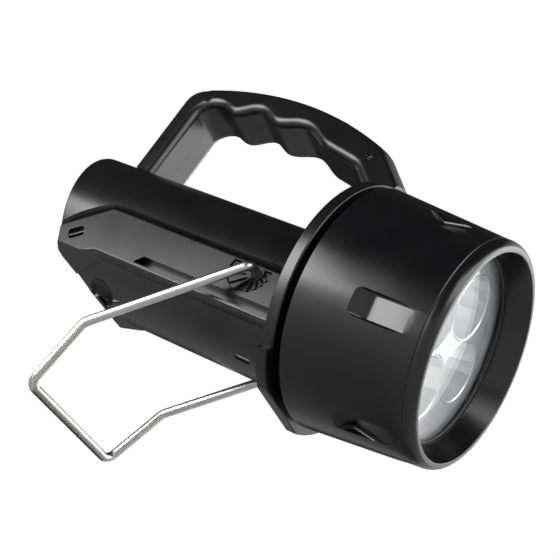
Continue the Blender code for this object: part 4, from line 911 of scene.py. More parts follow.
def make_collar():
    """Collar that the flange lies in."""
    band = soft_prism(collar_outline(), flange_rear, collar_front, collar_round, axis="X")
    ring = linked("collar_ring", band)
    bore = [(flange_rear - overrun, 0.0), (flange_rear - overrun, flange_radius + gap)]
    bore += [(collar_front + overrun, flange_radius + gap), (collar_front + overrun, 0.0)]
    return cut(ring, [lathe(bore, turned_sides)])


finish(make_collar(), case_black, "lamp", ["collar"])


# Body
def rear_x(z):
    """The body's rear end in side view: a leaning face above, a long chamfer below."""
    top_z = body_radius - body_drop
    if z >= body_corner_z:
        return body_corner_x + (body_rear_top - body_corner_x) * (z - body_corner_z) / (top_z - body_corner_z)
    share = (body_corner_z - z) / (body_corner_z - body_chamfer_end_z)
    return body_corner_x + (body_chamfer_end_x - body_corner_x) * share


def make_shell():
    """Round body whose rear end leans and has a rounded rim."""
    mesh_data = bmesh.new()
    rings = []
    for step in range(round_steps + 2):
        part = min(step, round_steps) / round_steps
        size = body_radius - body_rear_round * (1.0 - math.sin(quarter_turn * part))
        back = body_rear_round * (1.0 - math.cos(quarter_turn * part))
        ring = []
        for index in range(turned_sides):
            angle = math.tau * index / turned_sides
            full_z = body_radius * math.cos(angle) - body_drop
            x = flange_rear + overrun if step > round_steps else rear_x(full_z) + back
            ring.append(mesh_data.verts.new((x, size * math.sin(angle), size * math.cos(angle) - body_drop)))
        rings.append(ring)
    bridge(mesh_data, rings, closed=False)
    caps = [face for face in mesh_data.faces if len(face.verts) == turned_sides]
    rear_caps = [face for face in caps if face.calc_center_median().x < flange_rear]
    bmesh.ops.delete(mesh_data, geom=rear_caps, context="FACES_ONLY")
    first = rings[0]
    for index in range(turned_sides // 2):
        corners = []
        for corner in (first[index], first[-index], first[-index - 1], first[index + 1]):
            if corner not in corners:
                corners.append(corner)
        mesh_data.faces.new(corners)
    return mesh_data


def panel_outline(front):
    """Corners of a side panel in side view."""
    return [
        (panel_rear_x, panel_rear_top_z),
        (panel_peak_x, panel_top),
        (front, panel_top),
        (front, panel_bottom),
        (panel_low_peak_x, panel_bottom),
        (panel_toe_x, panel_toe_z),
        (panel_heel_x, panel_heel_z),
    ]


def slot_outline(centre, length, width, tilt, corner):
    """Outline of a slot with rounded corners."""
    along = Vector((math.cos(tilt), math.sin(tilt))) * (length / 2.0 - corner)
    across = Vector((-math.sin(tilt), math.cos(tilt))) * (width / 2.0 - corner)
    points = []
    for turn, (ahead, aside) in enumerate(((1.0, -1.0), (1.0, 1.0), (-1.0, 1.0), (-1.0, -1.0))):
        middle = Vector(centre) + along * ahead + across * aside
        start = tilt + quarter_turn * (turn - 1)
        points += arc_points(middle, corner, start, start + quarter_turn, slot_steps)
    return points


def eye_turn(sign):
    """Turns a shape drawn along +Y about the body's axis until it points down and to one side."""
    turn = Matrix.Rotation(-quarter_turn + sign * front_eye_turn, 4, "X")
    return Matrix.Translation((0.0, 0.0, -body_drop)) @ turn


def lug_blocks():
    """T-shaped lugs on the body that the handle's half shells close around."""
    rear = (handle_rear_x + handle_wall + lug_play, handle_rear_leg - handle_wall - lug_play)
    front = (handle_front_leg + handle_wall + lug_play, flange_rear - gap - handle_wall - lug_room)
    root = body_radius - body_drop - lug_sink
    shelf = handle_floor_z + gap
    forms = []
    for low, high in (rear, front):
        forms.append(block((low, -lug_neck, root), (high, lug_neck, shelf)))
        forms.append(block((low, -lug_head, shelf), (high, lug_head, shelf + lug_height)))
    return forms


def groove_part(first, last, sign):
    """One straight run of the shadow groove above a panel: its upper wall slopes down to the floor."""
    mesh_data = bmesh.new()
    slope = groove_width / (body_radius - groove_floor)
    reach = body_radius + overrun
    rings = []
    for outer in (False, True):
        ring = []
        for x, z, floor in (first, last):
            ring.append((x, reach if outer else floor, z - gap))
        for x, z, floor in (last, first):
            ring.append((x, reach if outer else floor, z + gap + (slope * (reach - floor) if outer else 0.0)))
        rings.append([mesh_data.verts.new((x, sign * y, z)) for x, y, z in ring])
    bridge(mesh_data, rings, closed=False)
    return mesh_data


def groove_parts(sign):
    """The groove deepens towards the rear."""
    path = [(panel_rear_x - groove_width, panel_rear_top_z, groove_rear_floor)]
    path += [(panel_peak_x, panel_top, groove_floor), (flange_rear, panel_top, groove_floor)]
    return [groove_part(first, last, sign) for first, last in zip(path, path[1:])]


def panel_seat_form(sign):
    """Flat recess that a side panel lies in."""
    slope = math.atan2(panel_top - panel_rear_top_z, panel_peak_x - panel_rear_x)
    outline = [(panel_rear_x - groove_width, panel_rear_top_z + gap)]
    outline += [(panel_peak_x - gap * math.tan(slope / 2.0), panel_top + gap)]
    outline += [(flange_rear, panel_top + gap), (flange_rear, panel_bottom - groove_width)]
    outline += [(rear_x(panel_heel_z) - overrun, panel_toe_z - groove_width)]
    return prism(outline, sign * panel_seat, sign * (body_radius + overrun))


def front_eye_forms(sign):
    """Slot under the body's front and the hole of the pin across it."""
    corner = front_eye_width / 2.0 - front_eye_flat
    slot = slot_outline((front_eye_x, 0.0), front_eye_length, front_eye_width, 0.0, corner)
    mouth = prism(slot, body_radius - front_eye_depth, body_radius + overrun)
    reach = front_pin_half + gap
    ends = [Vector((front_eye_x + way, body_radius - front_pin_depth, 0.0)) for way in (-reach, reach)]
    hole = tube(ends, front_pin_radius + wire_play)
    return [moved(form, eye_turn(sign)) for form in (mouth, hole)]


def scoop_form(sign):
    """Ball that hollows the body around an end of the lanyard bar."""
    out = Vector((0.0, sign * math.sin(scoop_turn), -math.cos(scoop_turn)))
    ball = bmesh.new()
    bmesh.ops.create_uvsphere(ball, u_segments=ball_sides, v_segments=ball_sides // 2, radius=scoop_radius)
    middle = Vector((scoop_x, 0.0, -body_drop)) + out * (body_radius + scoop_radius - scoop_depth)
    return moved(ball, Matrix.Translation(middle))


def make_housing():
    """Body, flange, neck, rear foot and handle lugs in one piece, less every hollow."""
    housing = linked("body_shell", make_shell())
    neck = [(flange_rear, 0.0), (flange_rear, flange_radius)]
    neck += [(-fillet, flange_radius), (-fillet, neck_radius)]
    neck += [(ring_back, neck_radius), (ring_back, ring_floor)]
    neck += [(ring_ahead, ring_floor), (ring_ahead, neck_radius)]
    neck += [(neck_length, neck_radius), (neck_length, 0.0)]
    foot_top = -foot_root + 2.0 * overrun
    foot = [(foot_front, -foot_root), (foot_low_x, -foot_drop), (foot_back_x, -foot_drop)]
    foot += [(foot_rear, -foot_root), (foot_rear, foot_top), (foot_front, foot_top)]
    foot_form = soft_prism(round_outline(foot, foot_corner), -foot_half, foot_half, foot_round)
    cut(housing, [lathe(neck, turned_sides), foot_form] + lug_blocks(), "UNION")
    hollow = [(cavity_rear, 0.0), (cavity_rear, cavity_radius), (0.0, cavity_radius), (0.0, 0.0)]
    bore = [(shelf_x, 0.0), (shelf_x, neck_bore)]
    bore += [(neck_length + overrun, neck_bore), (neck_length + overrun, 0.0)]
    forms = [lathe(hollow, disc_sides, 0.0, -body_drop), lathe(bore, turned_sides)]
    forms.append(block((eye_x - eye_length / 2.0, -eye_half_width, -body_drop - body_radius * 2.0),
                       (eye_x + eye_length / 2.0, eye_half_width, -eye_floor)))
    eye_reach = eye_bar_half + gap
    forms.append(prism(circle((eye_x, -eye_bar_drop), eye_bar_radius + wire_play), -eye_reach, eye_reach))
    for sign in (-1.0, 1.0):
        forms.append(panel_seat_form(sign))
        forms += groove_parts(sign)
        pivot_hole = circle((pivot_x, pivot_z), wire_radius + wire_play)
        forms.append(prism(pivot_hole, sign * (wire_tip - 2.0 * gap), sign * (body_radius + overrun)))
        forms += front_eye_forms(sign)
        forms.append(scoop_form(sign))
    cut(housing, forms)
    return soften(housing, body_soft_edge, angle=35.0)


finish(make_housing(), case_black, "lamp", ["housing"])


# Side panels, hubs and the bars in the rear slots
def pocket_outline(radius, flat):
    """Outline around the pivot that is round below and flat on top."""
    rise = math.asin((flat - pivot_z) / radius)
    return arc_points((pivot_x - pocket_back, pivot_z), radius, rise, -math.pi - rise, pocket_steps)


def make_panel(side, sign):
    """Side panel with its channel, pocket and slot, and the bar in the slot."""
    outline = round_outline(panel_outline(flange_rear - gap), panel_corner)
    blank = soft_prism(outline, sign * panel_root, sign * panel_plane, panel_round, both=False)
    panel = linked("panel_" + side, blank)
    core_form = linked("core_form", body_cylinder(body_radius + gap))
    inner = panel_seat + gap
    slab = block((body_rear_top - 2.0 * overrun, -inner, -body_radius * 2.0), (overrun, inner, body_radius))
    cut(core_form, [slab], "INTERSECT")
    cut(panel, [body_cylinder(panel_reach)], "INTERSECT")
    high = sign * (panel_plane + overrun)
    channel = [(channel_rear - channel_nose, channel_bottom), (channel_rear, channel_top)]
    channel += [(flange_rear + overrun, channel_top), (flange_rear + overrun, channel_bottom)]
    pocket = pocket_outline(pocket_radius, pocket_flat)
    spot = (strap_slot_x, strap_slot_z)
    slot = slot_outline(spot, strap_slot_length, strap_slot_width, strap_slot_tilt, strap_slot_round)
    way = Vector((math.cos(strap_slot_tilt), 0.0, math.sin(strap_slot_tilt))) * strap_bar_half
    middle = Vector((strap_slot_x, sign * (panel_plane - strap_bar_depth), strap_slot_z))
    longer = way * (1.0 + gap / strap_bar_half)
    forms = [core_form, prism(channel, sign * channel_floor, high)]
    forms.append(prism(pocket, sign * pocket_root, high))
    forms.append(prism(slot, sign * (panel_plane - strap_slot_depth), high))
    forms.append(tube([middle - longer, middle + longer], strap_bar_radius + wire_play))
    cut(panel, forms)
    soften(panel, panel_soft_edge, angle=35.0)
    finish(panel, case_black, "lamp", ["side_panel_" + side])
    bar = tube([middle - way, middle + way], strap_bar_radius, end_round=rod_end_round)
    finish(linked("slot_bar_" + side, bar), case_black, "lamp", ["strap_bar_" + side])


def rib_fan(name):
    """Geometry Nodes: a bar at each point, turned about the pivot and scaled to reach the hub's rim."""
    tree, begin = copy_tree(name, {"Width": "NodeSocketFloat", "Height": "NodeSocketFloat"})
    bar = tree.nodes.new("GeometryNodeMeshCube")
    size = tree.nodes.new("ShaderNodeCombineXYZ")
    size.inputs["X"].default_value = 1.0
    tree.links.new(begin.outputs["Height"], size.inputs["Y"])
    tree.links.new(begin.outputs["Width"], size.inputs["Z"])
    tree.links.new(size.outputs[0], bar.inputs["Size"])
    copies = tree.nodes.new("GeometryNodeInstanceOnPoints")
    tree.links.new(begin.outputs["Geometry"], copies.inputs["Points"])
    tree.links.new(bar.outputs["Mesh"], copies.inputs["Instance"])
    for attribute, socket in (("turn", "Rotation"), ("reach", "Scale")):
        value = tree.nodes.new("GeometryNodeInputNamedAttribute")
        value.data_type = "FLOAT_VECTOR"
        value.inputs["Name"].default_value = attribute
        tree.links.new(value.outputs[0], copies.inputs[socket])
    end_tree(tree, copies, hub_black)
    return tree


def make_ribs(side, sign):
    """Ribs that fan out below the pivot from the boss to the hub's rim."""
    fan = bmesh.new()
    turns, reaches = [], []
    for index in range(hub_rib_count):
        angle = -math.pi * (index + 0.5) / hub_rib_count
        out = Vector((math.cos(angle), math.sin(angle)))
        rim = math.sqrt(pocket_radius ** 2 - (pocket_back * out.y) ** 2) - pocket_back * out.x - 2.0 * gap
        middle = Vector((pivot_x, pivot_z)) + out * (rim + hub_rib_start) / 2.0
        fan.verts.new((middle.x, sign * (hub_low + hub_thickness + hub_rib_height / 2.0), middle.y))
        turns.append((0.0, -angle, 0.0))
        reaches.append((rim - hub_rib_start, 1.0, 1.0))
    points = linked("ribs_" + side, fan)
    for name, values in (("turn", turns), ("reach", reaches)):
        attribute = points.data.attributes.new(name, "FLOAT_VECTOR", "POINT")
        for index, value in enumerate(values):
            attribute.data[index].vector = value
    settings = {"Width": hub_rib_width, "Height": hub_rib_height + gap}
    return run_tree(points, rib_fan("rib_fan_" + side), settings, "rib_forms")


def make_hub(side, sign):
    """Ribbed disc in the pocket, with a hole for the wire's end."""
    inner = sign * hub_low
    top = sign * (hub_low + hub_thickness)
    boss_top = sign * (hub_low + hub_thickness + hub_boss_height)
    disc = pocket_outline(pocket_radius - gap, pocket_flat - gap)
    hub = linked("hub_" + side, soft_prism(disc, inner, top, hub_round, both=False))
    boss = circle((pivot_x, pivot_z), hub_boss_radius, boss_sides)
    boss = [(x, min(z, pocket_flat - gap)) for x, z in boss]
    cut(hub, [prism(boss, inner, boss_top)], "UNION")
    cut(hub, [make_ribs(side, sign)], "UNION")
    hole = circle((pivot_x, pivot_z), wire_radius + wire_play)
    cut(hub, [prism(hole, inner - sign * overrun, boss_top + sign * overrun)])
    soften(hub, hub_soft_edge, angle=35.0)
    finish(hub, hub_black, "lamp", ["pivot_hub_" + side])


for side, sign in (("right", -1.0), ("left", 1.0)):
    make_panel(side, sign)
    make_hub(side, sign)


# Stand of bent wire
def stand_corners():
    """Corners of the wire: pivot, leg, foot and crossbar, and the same again on the other side."""
    leg_way = Vector((-math.cos(leg_angle), 0.0, -math.sin(leg_angle)))
    foot_way = Vector((-math.cos(leg_angle + foot_kink), 0.0, -math.sin(leg_angle + foot_kink)))
    pivot = Vector((pivot_x, 0.0, pivot_z))
    kink = pivot + leg_way * leg_length
    cross = kink + foot_way * foot_length
    sideways = Vector((0.0, 1.0, 0.0))
    half_path = [pivot + sideways * wire_tip, pivot + sideways * leg_offset]
    half_path += [kink + sideways * leg_offset, cross + sideways * foot_offset]
    return half_path + [Vector((point.x, -point.y, point.z)) for point in reversed(half_path)]


corners = stand_corners()
bends = [pivot_bend] + [wire_bend] * (len(corners) - 4) + [pivot_bend]
stand = tube(bend_path(corners, bends, bend_steps), wire_radius, wire_sides, wire_end_round)
finish(linked("stand_wire", stand), bright_wire, "stand", ["wire_stand"], smooth=40.0)

# Lanyard bar and front pins
lanyard_ends = [Vector((eye_x, y, -eye_bar_drop)) for y in (-eye_bar_half, eye_bar_half)]
lanyard = tube(lanyard_ends, eye_bar_radius, end_round=rod_end_round)
finish(linked("eye_bar", lanyard), dark_pin, "lamp", ["lanyard_bar"])
pin_y = body_radius - front_pin_depth
pin_ends = [Vector((front_eye_x + way, pin_y, 0.0)) for way in (-front_pin_half, front_pin_half)]
for side, sign in (("right", -1.0), ("left", 1.0)):
    pin = moved(tube(pin_ends, front_pin_radius, end_round=rod_end_round), eye_turn(sign))
    finish(linked("strap_pin_" + side, pin), bright_wire, "lamp", ["front_pin_" + side])


# Handle
def crown_point(x):
    """Point of the handle's arched top."""
    lean = math.asin((x - handle_peak_x) / handle_top_radius)
    z = handle_centre_z + handle_top_radius * math.cos(lean)
    return handle_peak_x + handle_top_radius * math.sin(lean), z


def grip_z(x):
    """Underside of the grip: it follows the top, a little deeper in front, with finger waves."""
    arch = math.sqrt(handle_top_radius ** 2 - (x - handle_peak_x) ** 2)
    crest = grip_ridge_x - grip_pitch
    pitch = grip_pitch if x < crest else front_ridge_x - crest
    wave = grip_wave * math.cos(math.tau * (x - crest) / pitch)
    swell = grip_swell * (x - grip_rear_x) / (grip_ridge_x - grip_rear_x)
    return handle_centre_z + arch - grip_depth - swell - wave


def handle_outline(foot_z):
    """Corners of the handle in side view and the kind of each edge that follows them."""
    front_x = flange_rear - gap
    rear_top = (handle_rear_x, crown_point(handle_rear_x)[1])
    crown_start = crown_point(handle_rear_x + 2.0 * handle_rear_corner)
    corner = round_corner((handle_rear_x, foot_z), rear_top, crown_start, handle_rear_corner, corner_steps)
    points = [((handle_rear_x, foot_z), "crown")]
    points += [(tuple(point), "crown") for point in corner]
    start = corner[-1][0]
    nose = crown_point(handle_nose_x)
    slope_end = (front_x, nose[1] - (front_x - nose[0]) * math.tan(handle_nose_tilt))
    nose_start = crown_point(handle_nose_x - handle_nose_round)
    blend = round_corner(nose_start, nose, slope_end, handle_nose_round, nose_steps)
    stop = blend[0][0]
    for step in range(1, crown_steps):
        points.append((crown_point(start + (stop - start) * step / crown_steps), "crown"))
    points += [(tuple(point), "crown") for point in blend]
    points += [(slope_end, "flat"), ((front_x, foot_z), "flat"), ((handle_front_leg, foot_z), "grip")]
    bend, bay = (handle_front_leg, front_leg_bend_z), (front_throat_x, front_throat_z)
    throat = round_corner((handle_front_leg, foot_z), bend, bay, front_round, throat_steps)
    throat += round_corner(bend, bay, (front_ridge_x, grip_z(front_ridge_x)), front_round, throat_steps)
    points += [(tuple(point), "grip") for point in throat]
    level = grip_z(grip_rear_x)
    throat = round_corner((grip_rear_x + throat_round, level), (handle_rear_leg, level),
                          (handle_rear_leg, foot_z), throat_round, throat_steps)
    for step in range(grip_points):
        x = front_ridge_x + (grip_rear_x - front_ridge_x) * step / grip_points
        if x > throat[0].x + grip_wave / 2.0:
            points.append(((x, grip_z(x)), "grip"))
    points += [(tuple(point), "grip") for point in throat]
    points.append(((handle_rear_leg, foot_z), "flat"))
    return points


def handle_ring(mesh_data, points, y, crown, edge, flat):
    """One lengthwise section of the handle, moved inwards by its own amount on each kind of edge."""
    size = {"crown": crown, "grip": edge, "flat": flat}
    places = inset([point for point, kind in points], [size[kind] for point, kind in points])
    return [mesh_data.verts.new((place.x, y, place.y)) for place in places]


def crown_drop(y):
    """The top falls away towards the handle's sides."""
    return handle_crown * (y / handle_half_width) ** 2


def half_grip(sign):
    """Outside of one half of the handle, with a rounded outer edge."""
    mesh_data = bmesh.new()
    points = handle_outline(handle_foot_z)
    rings = []
    straight = handle_half_width - grip_round
    for step in range(handle_stations + 1):
        y = seam_half + (straight - seam_half) * step / handle_stations
        rings.append(handle_ring(mesh_data, points, sign * y, crown_drop(y), 0.0, 0.0))
    for step in range(1, throat_steps + 1):
        angle = quarter_turn * step / throat_steps
        y = straight + grip_round * math.sin(angle)
        edge = grip_round * (1.0 - math.cos(angle))
        close = max(y - handle_half_width + crown_round, 0.0)
        top = crown_round - math.sqrt(crown_round ** 2 - close ** 2)
        rings.append(handle_ring(mesh_data, points, sign * y, crown_drop(y) + top, edge, 0.0))
    bridge(mesh_data, rings, closed=False)
    return mesh_data


def grip_hollow(sign):
    """Room inside one half of the handle, less the bosses of the screws."""
    mesh_data = bmesh.new()
    points = handle_outline(handle_floor_z - handle_wall)
    deepest = handle_half_width - handle_wall
    rings = []
    for y in (-overrun, 0.0, deepest / 3.0, deepest * 2.0 / 3.0, deepest):
        top = crown_drop(max(y, 0.0)) + handle_wall
        rings.append(handle_ring(mesh_data, points, sign * y, top, handle_wall, handle_wall))
    bridge(mesh_data, rings, closed=False)
    bosses = []
    for spot in screw_spots:
        bosses.append(prism(circle(spot, screw_boss_radius), -sign * 2.0 * overrun, sign * handle_half_width))
    return cut(linked("hollow_form", mesh_data), bosses)


def bezel_recess():
    """Seat of the switch's bezel, drawn about its own axis."""
    inner, outer = bezel_radius + gap, bezel_radius + bezel_lip + gap
    ledge = bezel_top - bezel_lip_height - gap
    recess = [(bezel_bottom - overrun, 0.0), (bezel_bottom - overrun, inner), (ledge, inner)]
    recess += [(ledge, outer), (overrun, outer), (overrun, 0.0)]
    return moved(lathe(recess, disc_sides), to_switch)


switch_lean = math.asin((switch_x - handle_peak_x) / handle_top_radius)
switch_place = Vector((crown_point(switch_x)[0], 0.0, crown_point(switch_x)[1]))
to_switch = Matrix.Translation(switch_place) @ Matrix.Rotation(switch_lean - quarter_turn, 4, "Y")


def make_handle(side, sign):
    """One half of the handle, with its room for the screws and the switch."""
    half = linked("grip_" + side, half_grip(sign))
    forms = [body_cylinder(body_radius + gap), grip_hollow(sign), bezel_recess()]
    seat = handle_half_width - screw_depth
    for spot in screw_spots:
        deep = screw_reach + gap if sign > 0.0 else seat + overrun
        forms.append(prism(circle(spot, screw_shaft + wire_play), -sign * overrun, sign * deep))
        if sign < 0.0:
            forms.append(prism(circle(spot, screw_recess, recess_sides), -seat, -handle_half_width - overrun))
    cut(half, forms)
    soften(half, handle_soft_edge, angle=40.0)
    finish(half, case_black, "lamp", ["handle_" + side], smooth=40.0)


make_handle("right", -1.0)
make_handle("left", 1.0)


def make_screw(index, spot):
    """Machine screw across the handle with a cross in its head."""
    back = -(handle_half_width - screw_depth) - wire_play
    front = back - screw_head
    outline = [(front, 0.0), (front, screw_head_radius - screw_chamfer)]
    outline += [(front + screw_chamfer, screw_head_radius), (back, screw_head_radius), (back, screw_shaft)]
    outline += [(screw_reach, screw_shaft), (screw_reach, 0.0)]
    place = Matrix.Translation((spot[0], 0.0, spot[1])) @ Matrix.Rotation(quarter_turn, 4, "Z")
    screw = linked("grip_screw_%d" % (index + 1), moved(lathe(outline, rod_sides), place))
    half = screw_cross / 2.0
    bars = []
    for wide, tall in ((screw_arm, half), (half, screw_arm)):
        bars.append(block((spot[0] - wide, front - overrun, spot[1] - tall),
                          (spot[0] + wide, back - screw_cross_floor, spot[1] + tall)))
    cut(screw, bars)
    finish(screw, zinc_steel, "lamp", ["handle_screw_%d" % (index + 1)])


for index, spot in enumerate(screw_spots):
    make_screw(index, spot)


# Switch
def make_bezel():
    """Ring around the button."""
    ledge, outer, inner = bezel_top - bezel_lip_height, bezel_radius + bezel_lip, bezel_radius - bezel_wall
    outline = [(bezel_bottom, inner), (bezel_bottom, bezel_radius), (ledge, bezel_radius)]
    outline += [(ledge, outer), (bezel_top - bezel_chamfer, outer)]
    outline += [(bezel_top, outer - bezel_chamfer), (bezel_top, inner)]
    bezel = linked("button_bezel", moved(lathe(outline, disc_sides), to_switch))
    finish(bezel, soft_black, "lamp", ["switch_bezel"])


def make_button():
    """Round button with a hollow top and a flange that keeps it in."""
    radius = bezel_radius - bezel_wall - gap
    flange_top = bezel_bottom - gap
    low = flange_top - button_flange
    outline = [(low, 0.0), (low, radius + button_lip)]
    outline += [(flange_top, radius + button_lip), (flange_top, radius)]
    corner = (button_top - button_round, radius - button_round)
    outline += arc_points(corner, button_round, quarter_turn, 0.0, round_steps)
    for step in range(dish_steps, -1, -1):
        share = step / dish_steps
        outline.append((button_top - button_dish * (1.0 - share ** 2), (radius - 2.0 * button_round) * share))
    button = linked("button_pad", moved(lathe(outline, disc_sides), to_switch))
    finish(button, soft_black, "switch_push", ["switch_button"])


make_bezel()
make_button()


# Lens and its seal
def make_lens():
    """Flat window with chamfered rims."""
    flat = lens_radius - lens_chamfer
    outline = [(lens_back, 0.0), (lens_back, flat), (lens_back + lens_chamfer, lens_radius)]
    outline += [(lens_front - lens_chamfer, lens_radius), (lens_front, flat), (lens_front, 0.0)]
    finish(linked("window", lathe(outline, turned_sides)), lens_clear, "lamp", ["lens"])


def make_seal():
    """Ring of rubber in front of the window."""
    rim = gasket_bore + seal_chamfer
    outline = [(gasket_back, rim), (gasket_back + seal_chamfer, gasket_bore)]
    outline += [(gasket_front - seal_chamfer, gasket_bore), (gasket_front, rim)]
    outline += [(gasket_front, lens_radius), (gasket_back, lens_radius)]
    seal = linked("window_seal", lathe(outline, turned_sides))
    finish(seal, soft_black, "seal_slide", ["lens_gasket"])


make_lens()
make_seal()


# Reflector
def cup_profile(extra, low, high):
    """Bowl outline: the radius grows with the square root of the distance from the throat."""
    points = [(low, 0.0), (low, cup_throat_radius + extra)]
    for index in range(cup_rings):
        share = index / cup_rings
        if index > 0 or low < throat_x:
            radius = cup_throat_radius + (cup_radius - cup_throat_radius) * share + extra
            points.append((throat_x + (plate_front - throat_x) * share ** 2, radius))
    points += [(high, cup_radius + extra), (high, 0.0)]
    return points


def cup_bead_form(y, z):
    """Thin bead around a cup's mouth."""
    section = arc_points((plate_front, cup_radius + cup_bead), cup_bead, 0.0, math.tau, bead_sides)[:-1]
    return lathe(section, disc_sides, y, z)


def frost_rim(piece):
    """Gives the ring outside the cups its frosted finish."""
    mesh = piece.data
    mesh.materials.append(frosted_rim)
    back = lamp_axes.inverted()
    for face in mesh.polygons:
        place = back @ face.center
        outside = math.hypot(place.y, place.z) > rim_radius
        if outside and place.x > plate_front - 2.0 * rim_step:
            face.material_index = len(mesh.materials) - 1


def make_reflector():
    """Plate with four faceted cups, a bead around each and a stepped, frosted rim."""
    plate = [(plate_back, 0.0), (plate_back, lens_radius), (plate_front - rim_step, lens_radius)]
    plate += [(plate_front - rim_step, cup_reach + rim_outer), (plate_front, cup_reach + rim_inner)]
    plate += [(plate_front, 0.0)]
    reflector = linked("reflector_cups", lathe(plate, turned_sides))
    middle_x = (plate_back + plate_front) / 2.0
    outside = cup_profile(cup_wall, throat_x, middle_x)
    inside = cup_profile(0.0, throat_x - overrun, plate_front + overrun)
    cut(reflector, [lathe(outside, cup_facets, y, z) for y, z in cup_places], "UNION")
    cut(reflector, [lathe(inside, cup_facets, y, z) for y, z in cup_places])
    cut(reflector, [cup_bead_form(y, z) for y, z in cup_places], "UNION")
    frost_rim(finish(reflector, cup_mirror, "lamp", ["reflector"], smooth=12.0))


def make_led(index, y, z):
    """Emitter with a yellow base and a clear dome."""
    half = led_side / 2.0
    top = board_front + led_height
    base = block((board_front + gap / 2.0, y - half, z - half), (top, y + half, z + half))
    package = soften(linked("led_package_%d" % (index + 1), base), led_round, steps=3)
    finish(package, phosphor, "lamp", ["led_%d" % (index + 1)])
    root = top + dome_play
    outline = [(root, 0.0), (root, dome_radius)]
    for step in range(1, dome_steps):
        angle = quarter_turn * step / dome_steps
        outline.append((root + dome_radius * math.sin(angle), dome_radius * math.cos(angle)))
    outline.append((root + dome_radius, 0.0))
    dome = linked("led_dome_%d" % (index + 1), lathe(outline, rod_sides, y, z))
    finish(dome, dome_clear, "lamp")


cup_places = [polar(cup_centre, math.tau * index / cup_count) for index in range(cup_count)]
make_reflector()
for index, (y, z) in enumerate(cup_places):
    make_led(index, y, z)

# Finishes of the solids that stay as they are
kept = {
    "reflector_spacer": case_black,
    "neck_oring": soft_black,
    "led_board": board_white,
    "heat_sink": cast_metal,
    "driver_board": board_green,
    "driver_coil": soft_black,
    "driver_chip": hub_black,
    "battery_holder": case_black,
    "micro_switch": hub_black,
    "switch_plunger": board_white,
    "switch_lead": lead_red,
    "led_lead": lead_red,
    "return_rod": contact_brass,
    "contact_plate_front": contact_brass,
    "contact_plate_rear": contact_brass,
    "driver_stud_left": contact_brass,
    "driver_stud_right": contact_brass,
}
for name in frame["nodes"]:
    if name.startswith("cell_"):
        kept[name] = jacket_film
    if name.startswith(("board_screw", "sink_screw", "contact_spring")):
        kept[name] = zinc_steel
for name, material in kept.items():
    node = frame["nodes"][name]
    node.data.materials.clear()
    node.data.materials.append(material)

# Camera
rotation = Matrix((camera_right, -camera_down, -camera_away)).transposed().to_4x4()
camera_data = bpy.data.cameras.new("photo_camera")
camera_data.lens = camera_lens
camera_data.sensor_width = camera_sensor
camera_data.clip_start = camera_clip
camera = placed("photo_camera", camera_data)
camera.matrix_world = lamp_axes @ Matrix.Translation(camera_place) @ rotation
bpy.context.scene.camera = camera


# Floor that shows only from above
def make_floor():
    """Plain pale floor, paler still to the eye, and see-through from beneath for the photograph's view."""
    mesh_data = bmesh.new()
    bmesh.ops.create_grid(mesh_data, x_segments=1, y_segments=1, size=floor_size)
    mesh = bpy.data.meshes.new("floor")
    mesh_data.to_mesh(mesh)
    mesh_data.free()
    floor = placed("floor", mesh)
    material, tree, shader = new_material("pale_floor", floor_colour, floor_roughness)
    pale = tree.nodes.new("ShaderNodeEmission")
    pale.inputs["Color"].default_value = (*floor_glow, 1.0)
    path = tree.nodes.new("ShaderNodeLightPath")
    share = tree.nodes.new("ShaderNodeMath")
    share.operation = "MULTIPLY"
    share.inputs[1].default_value = floor_glow_share
    tree.links.new(path.outputs["Is Camera Ray"], share.inputs[0])
    seen = tree.nodes.new("ShaderNodeMixShader")
    tree.links.new(share.outputs[0], seen.inputs["Fac"])
    tree.links.new(shader.outputs[0], seen.inputs[1])
    tree.links.new(pale.outputs[0], seen.inputs[2])
    clear = tree.nodes.new("ShaderNodeBsdfTransparent")
    side = tree.nodes.new("ShaderNodeNewGeometry")
    mix = tree.nodes.new("ShaderNodeMixShader")
    output = tree.nodes["Material Output"]
    tree.links.new(side.outputs["Backfacing"], mix.inputs["Fac"])
    tree.links.new(seen.outputs[0], mix.inputs[1])
    tree.links.new(clear.outputs[0], mix.inputs[2])
    tree.links.new(mix.outputs[0], output.inputs["Surface"])
    mesh.materials.append(material)


make_floor()


# Studio lamps and backdrop
def direction(turn, lift):
    """Unit vector of the row frame at a turn from +X and a lift from the floor, both in degrees."""
    turn, lift = math.radians(turn), math.radians(lift)
    return Vector((math.cos(lift) * math.cos(turn), math.cos(lift) * math.sin(turn), math.sin(lift)))


def softbox(name, turn, lift, distance, size, radiance, glossy=True):
    """Rectangular studio lamp that faces the middle of the studio from a direction and distance."""
    data = bpy.data.lights.new(name, "AREA")
    data.shape = "RECTANGLE"
    data.size = size[0]
    data.size_y = size[1]
    data.energy = radiance * math.pi * size[0] * size[1]
    lamp = placed(name, data)
    lamp.visible_glossy = glossy
    way = direction(turn, lift)
    place = Matrix.Translation(studio_middle + way * distance)
    lamp.matrix_world = place @ way.to_track_quat("Z", "Y").to_matrix().to_4x4()


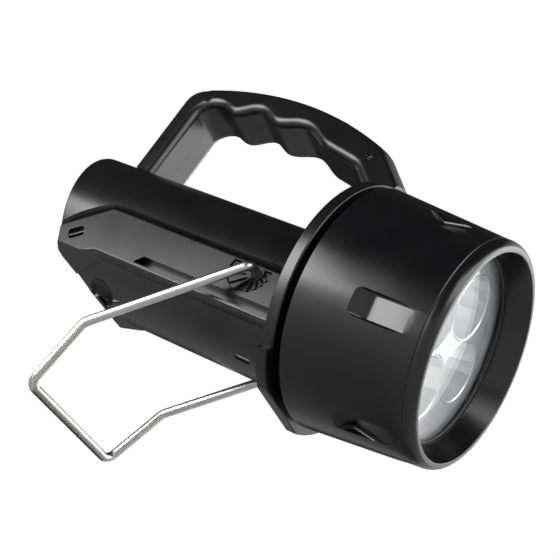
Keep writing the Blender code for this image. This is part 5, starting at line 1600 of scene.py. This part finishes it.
softbox("key", turn=-120.5, lift=3.6, distance=0.42, size=(0.29, 0.225), radiance=11.0)
softbox("side", turn=84.0, lift=14.0, distance=0.7, size=(0.5, 0.30), radiance=4.0)
softbox("window", turn=-36.0, lift=10.0, distance=0.5, size=(0.34, 0.26), radiance=4.0)
softbox("front", turn=14.0, lift=16.0, distance=0.6, size=(0.9, 0.42), radiance=3.4)
softbox("top", turn=150.0, lift=80.0, distance=1.1, size=(0.8, 0.8), radiance=0.5, glossy=False)
softbox("low", turn=172.0, lift=12.0, distance=0.5, size=(0.3, 0.14), radiance=2.0)


def make_world():
    """White for the eye; the lamp sees a white backdrop on its front left and a dim room elsewhere."""
    world = bpy.data.worlds.new("studio")
    bpy.context.scene.world = world
    world.use_nodes = True
    tree = world.node_tree
    room = tree.nodes["Background"]
    room.inputs["Color"].default_value = (1.0, 1.0, 1.0, 1.0)
    place = tree.nodes.new("ShaderNodeTexCoord")
    facing = tree.nodes.new("ShaderNodeVectorMath")
    facing.operation = "DOT_PRODUCT"
    facing.inputs[1].default_value = direction(backdrop_turn, backdrop_lift)
    tree.links.new(place.outputs["Generated"], facing.inputs[0])
    fade = tree.nodes.new("ShaderNodeMapRange")
    fade.interpolation_type = "SMOOTHSTEP"
    fade.inputs["From Min"].default_value = backdrop_fades
    fade.inputs["From Max"].default_value = backdrop_full
    fade.inputs["To Min"].default_value = room_strength
    fade.inputs["To Max"].default_value = backdrop_strength
    tree.links.new(facing.outputs["Value"], fade.inputs["Value"])
    tree.links.new(fade.outputs["Result"], room.inputs["Strength"])
    bright = tree.nodes.new("ShaderNodeBackground")
    bright.inputs["Color"].default_value = (1.0, 1.0, 1.0, 1.0)
    path = tree.nodes.new("ShaderNodeLightPath")
    seen = tree.nodes.new("ShaderNodeMath")
    seen.operation = "MAXIMUM"
    tree.links.new(path.outputs["Is Camera Ray"], seen.inputs[0])
    tree.links.new(path.outputs["Is Transmission Ray"], seen.inputs[1])
    mix = tree.nodes.new("ShaderNodeMixShader")
    tree.links.new(seen.outputs[0], mix.inputs["Fac"])
    tree.links.new(room.outputs[0], mix.inputs[1])
    tree.links.new(bright.outputs[0], mix.inputs[2])
    tree.links.new(mix.outputs[0], tree.nodes["World Output"].inputs["Surface"])


make_world()
bpy.context.scene.view_settings.view_transform = "Standard"

bpy.context.view_layer.update()
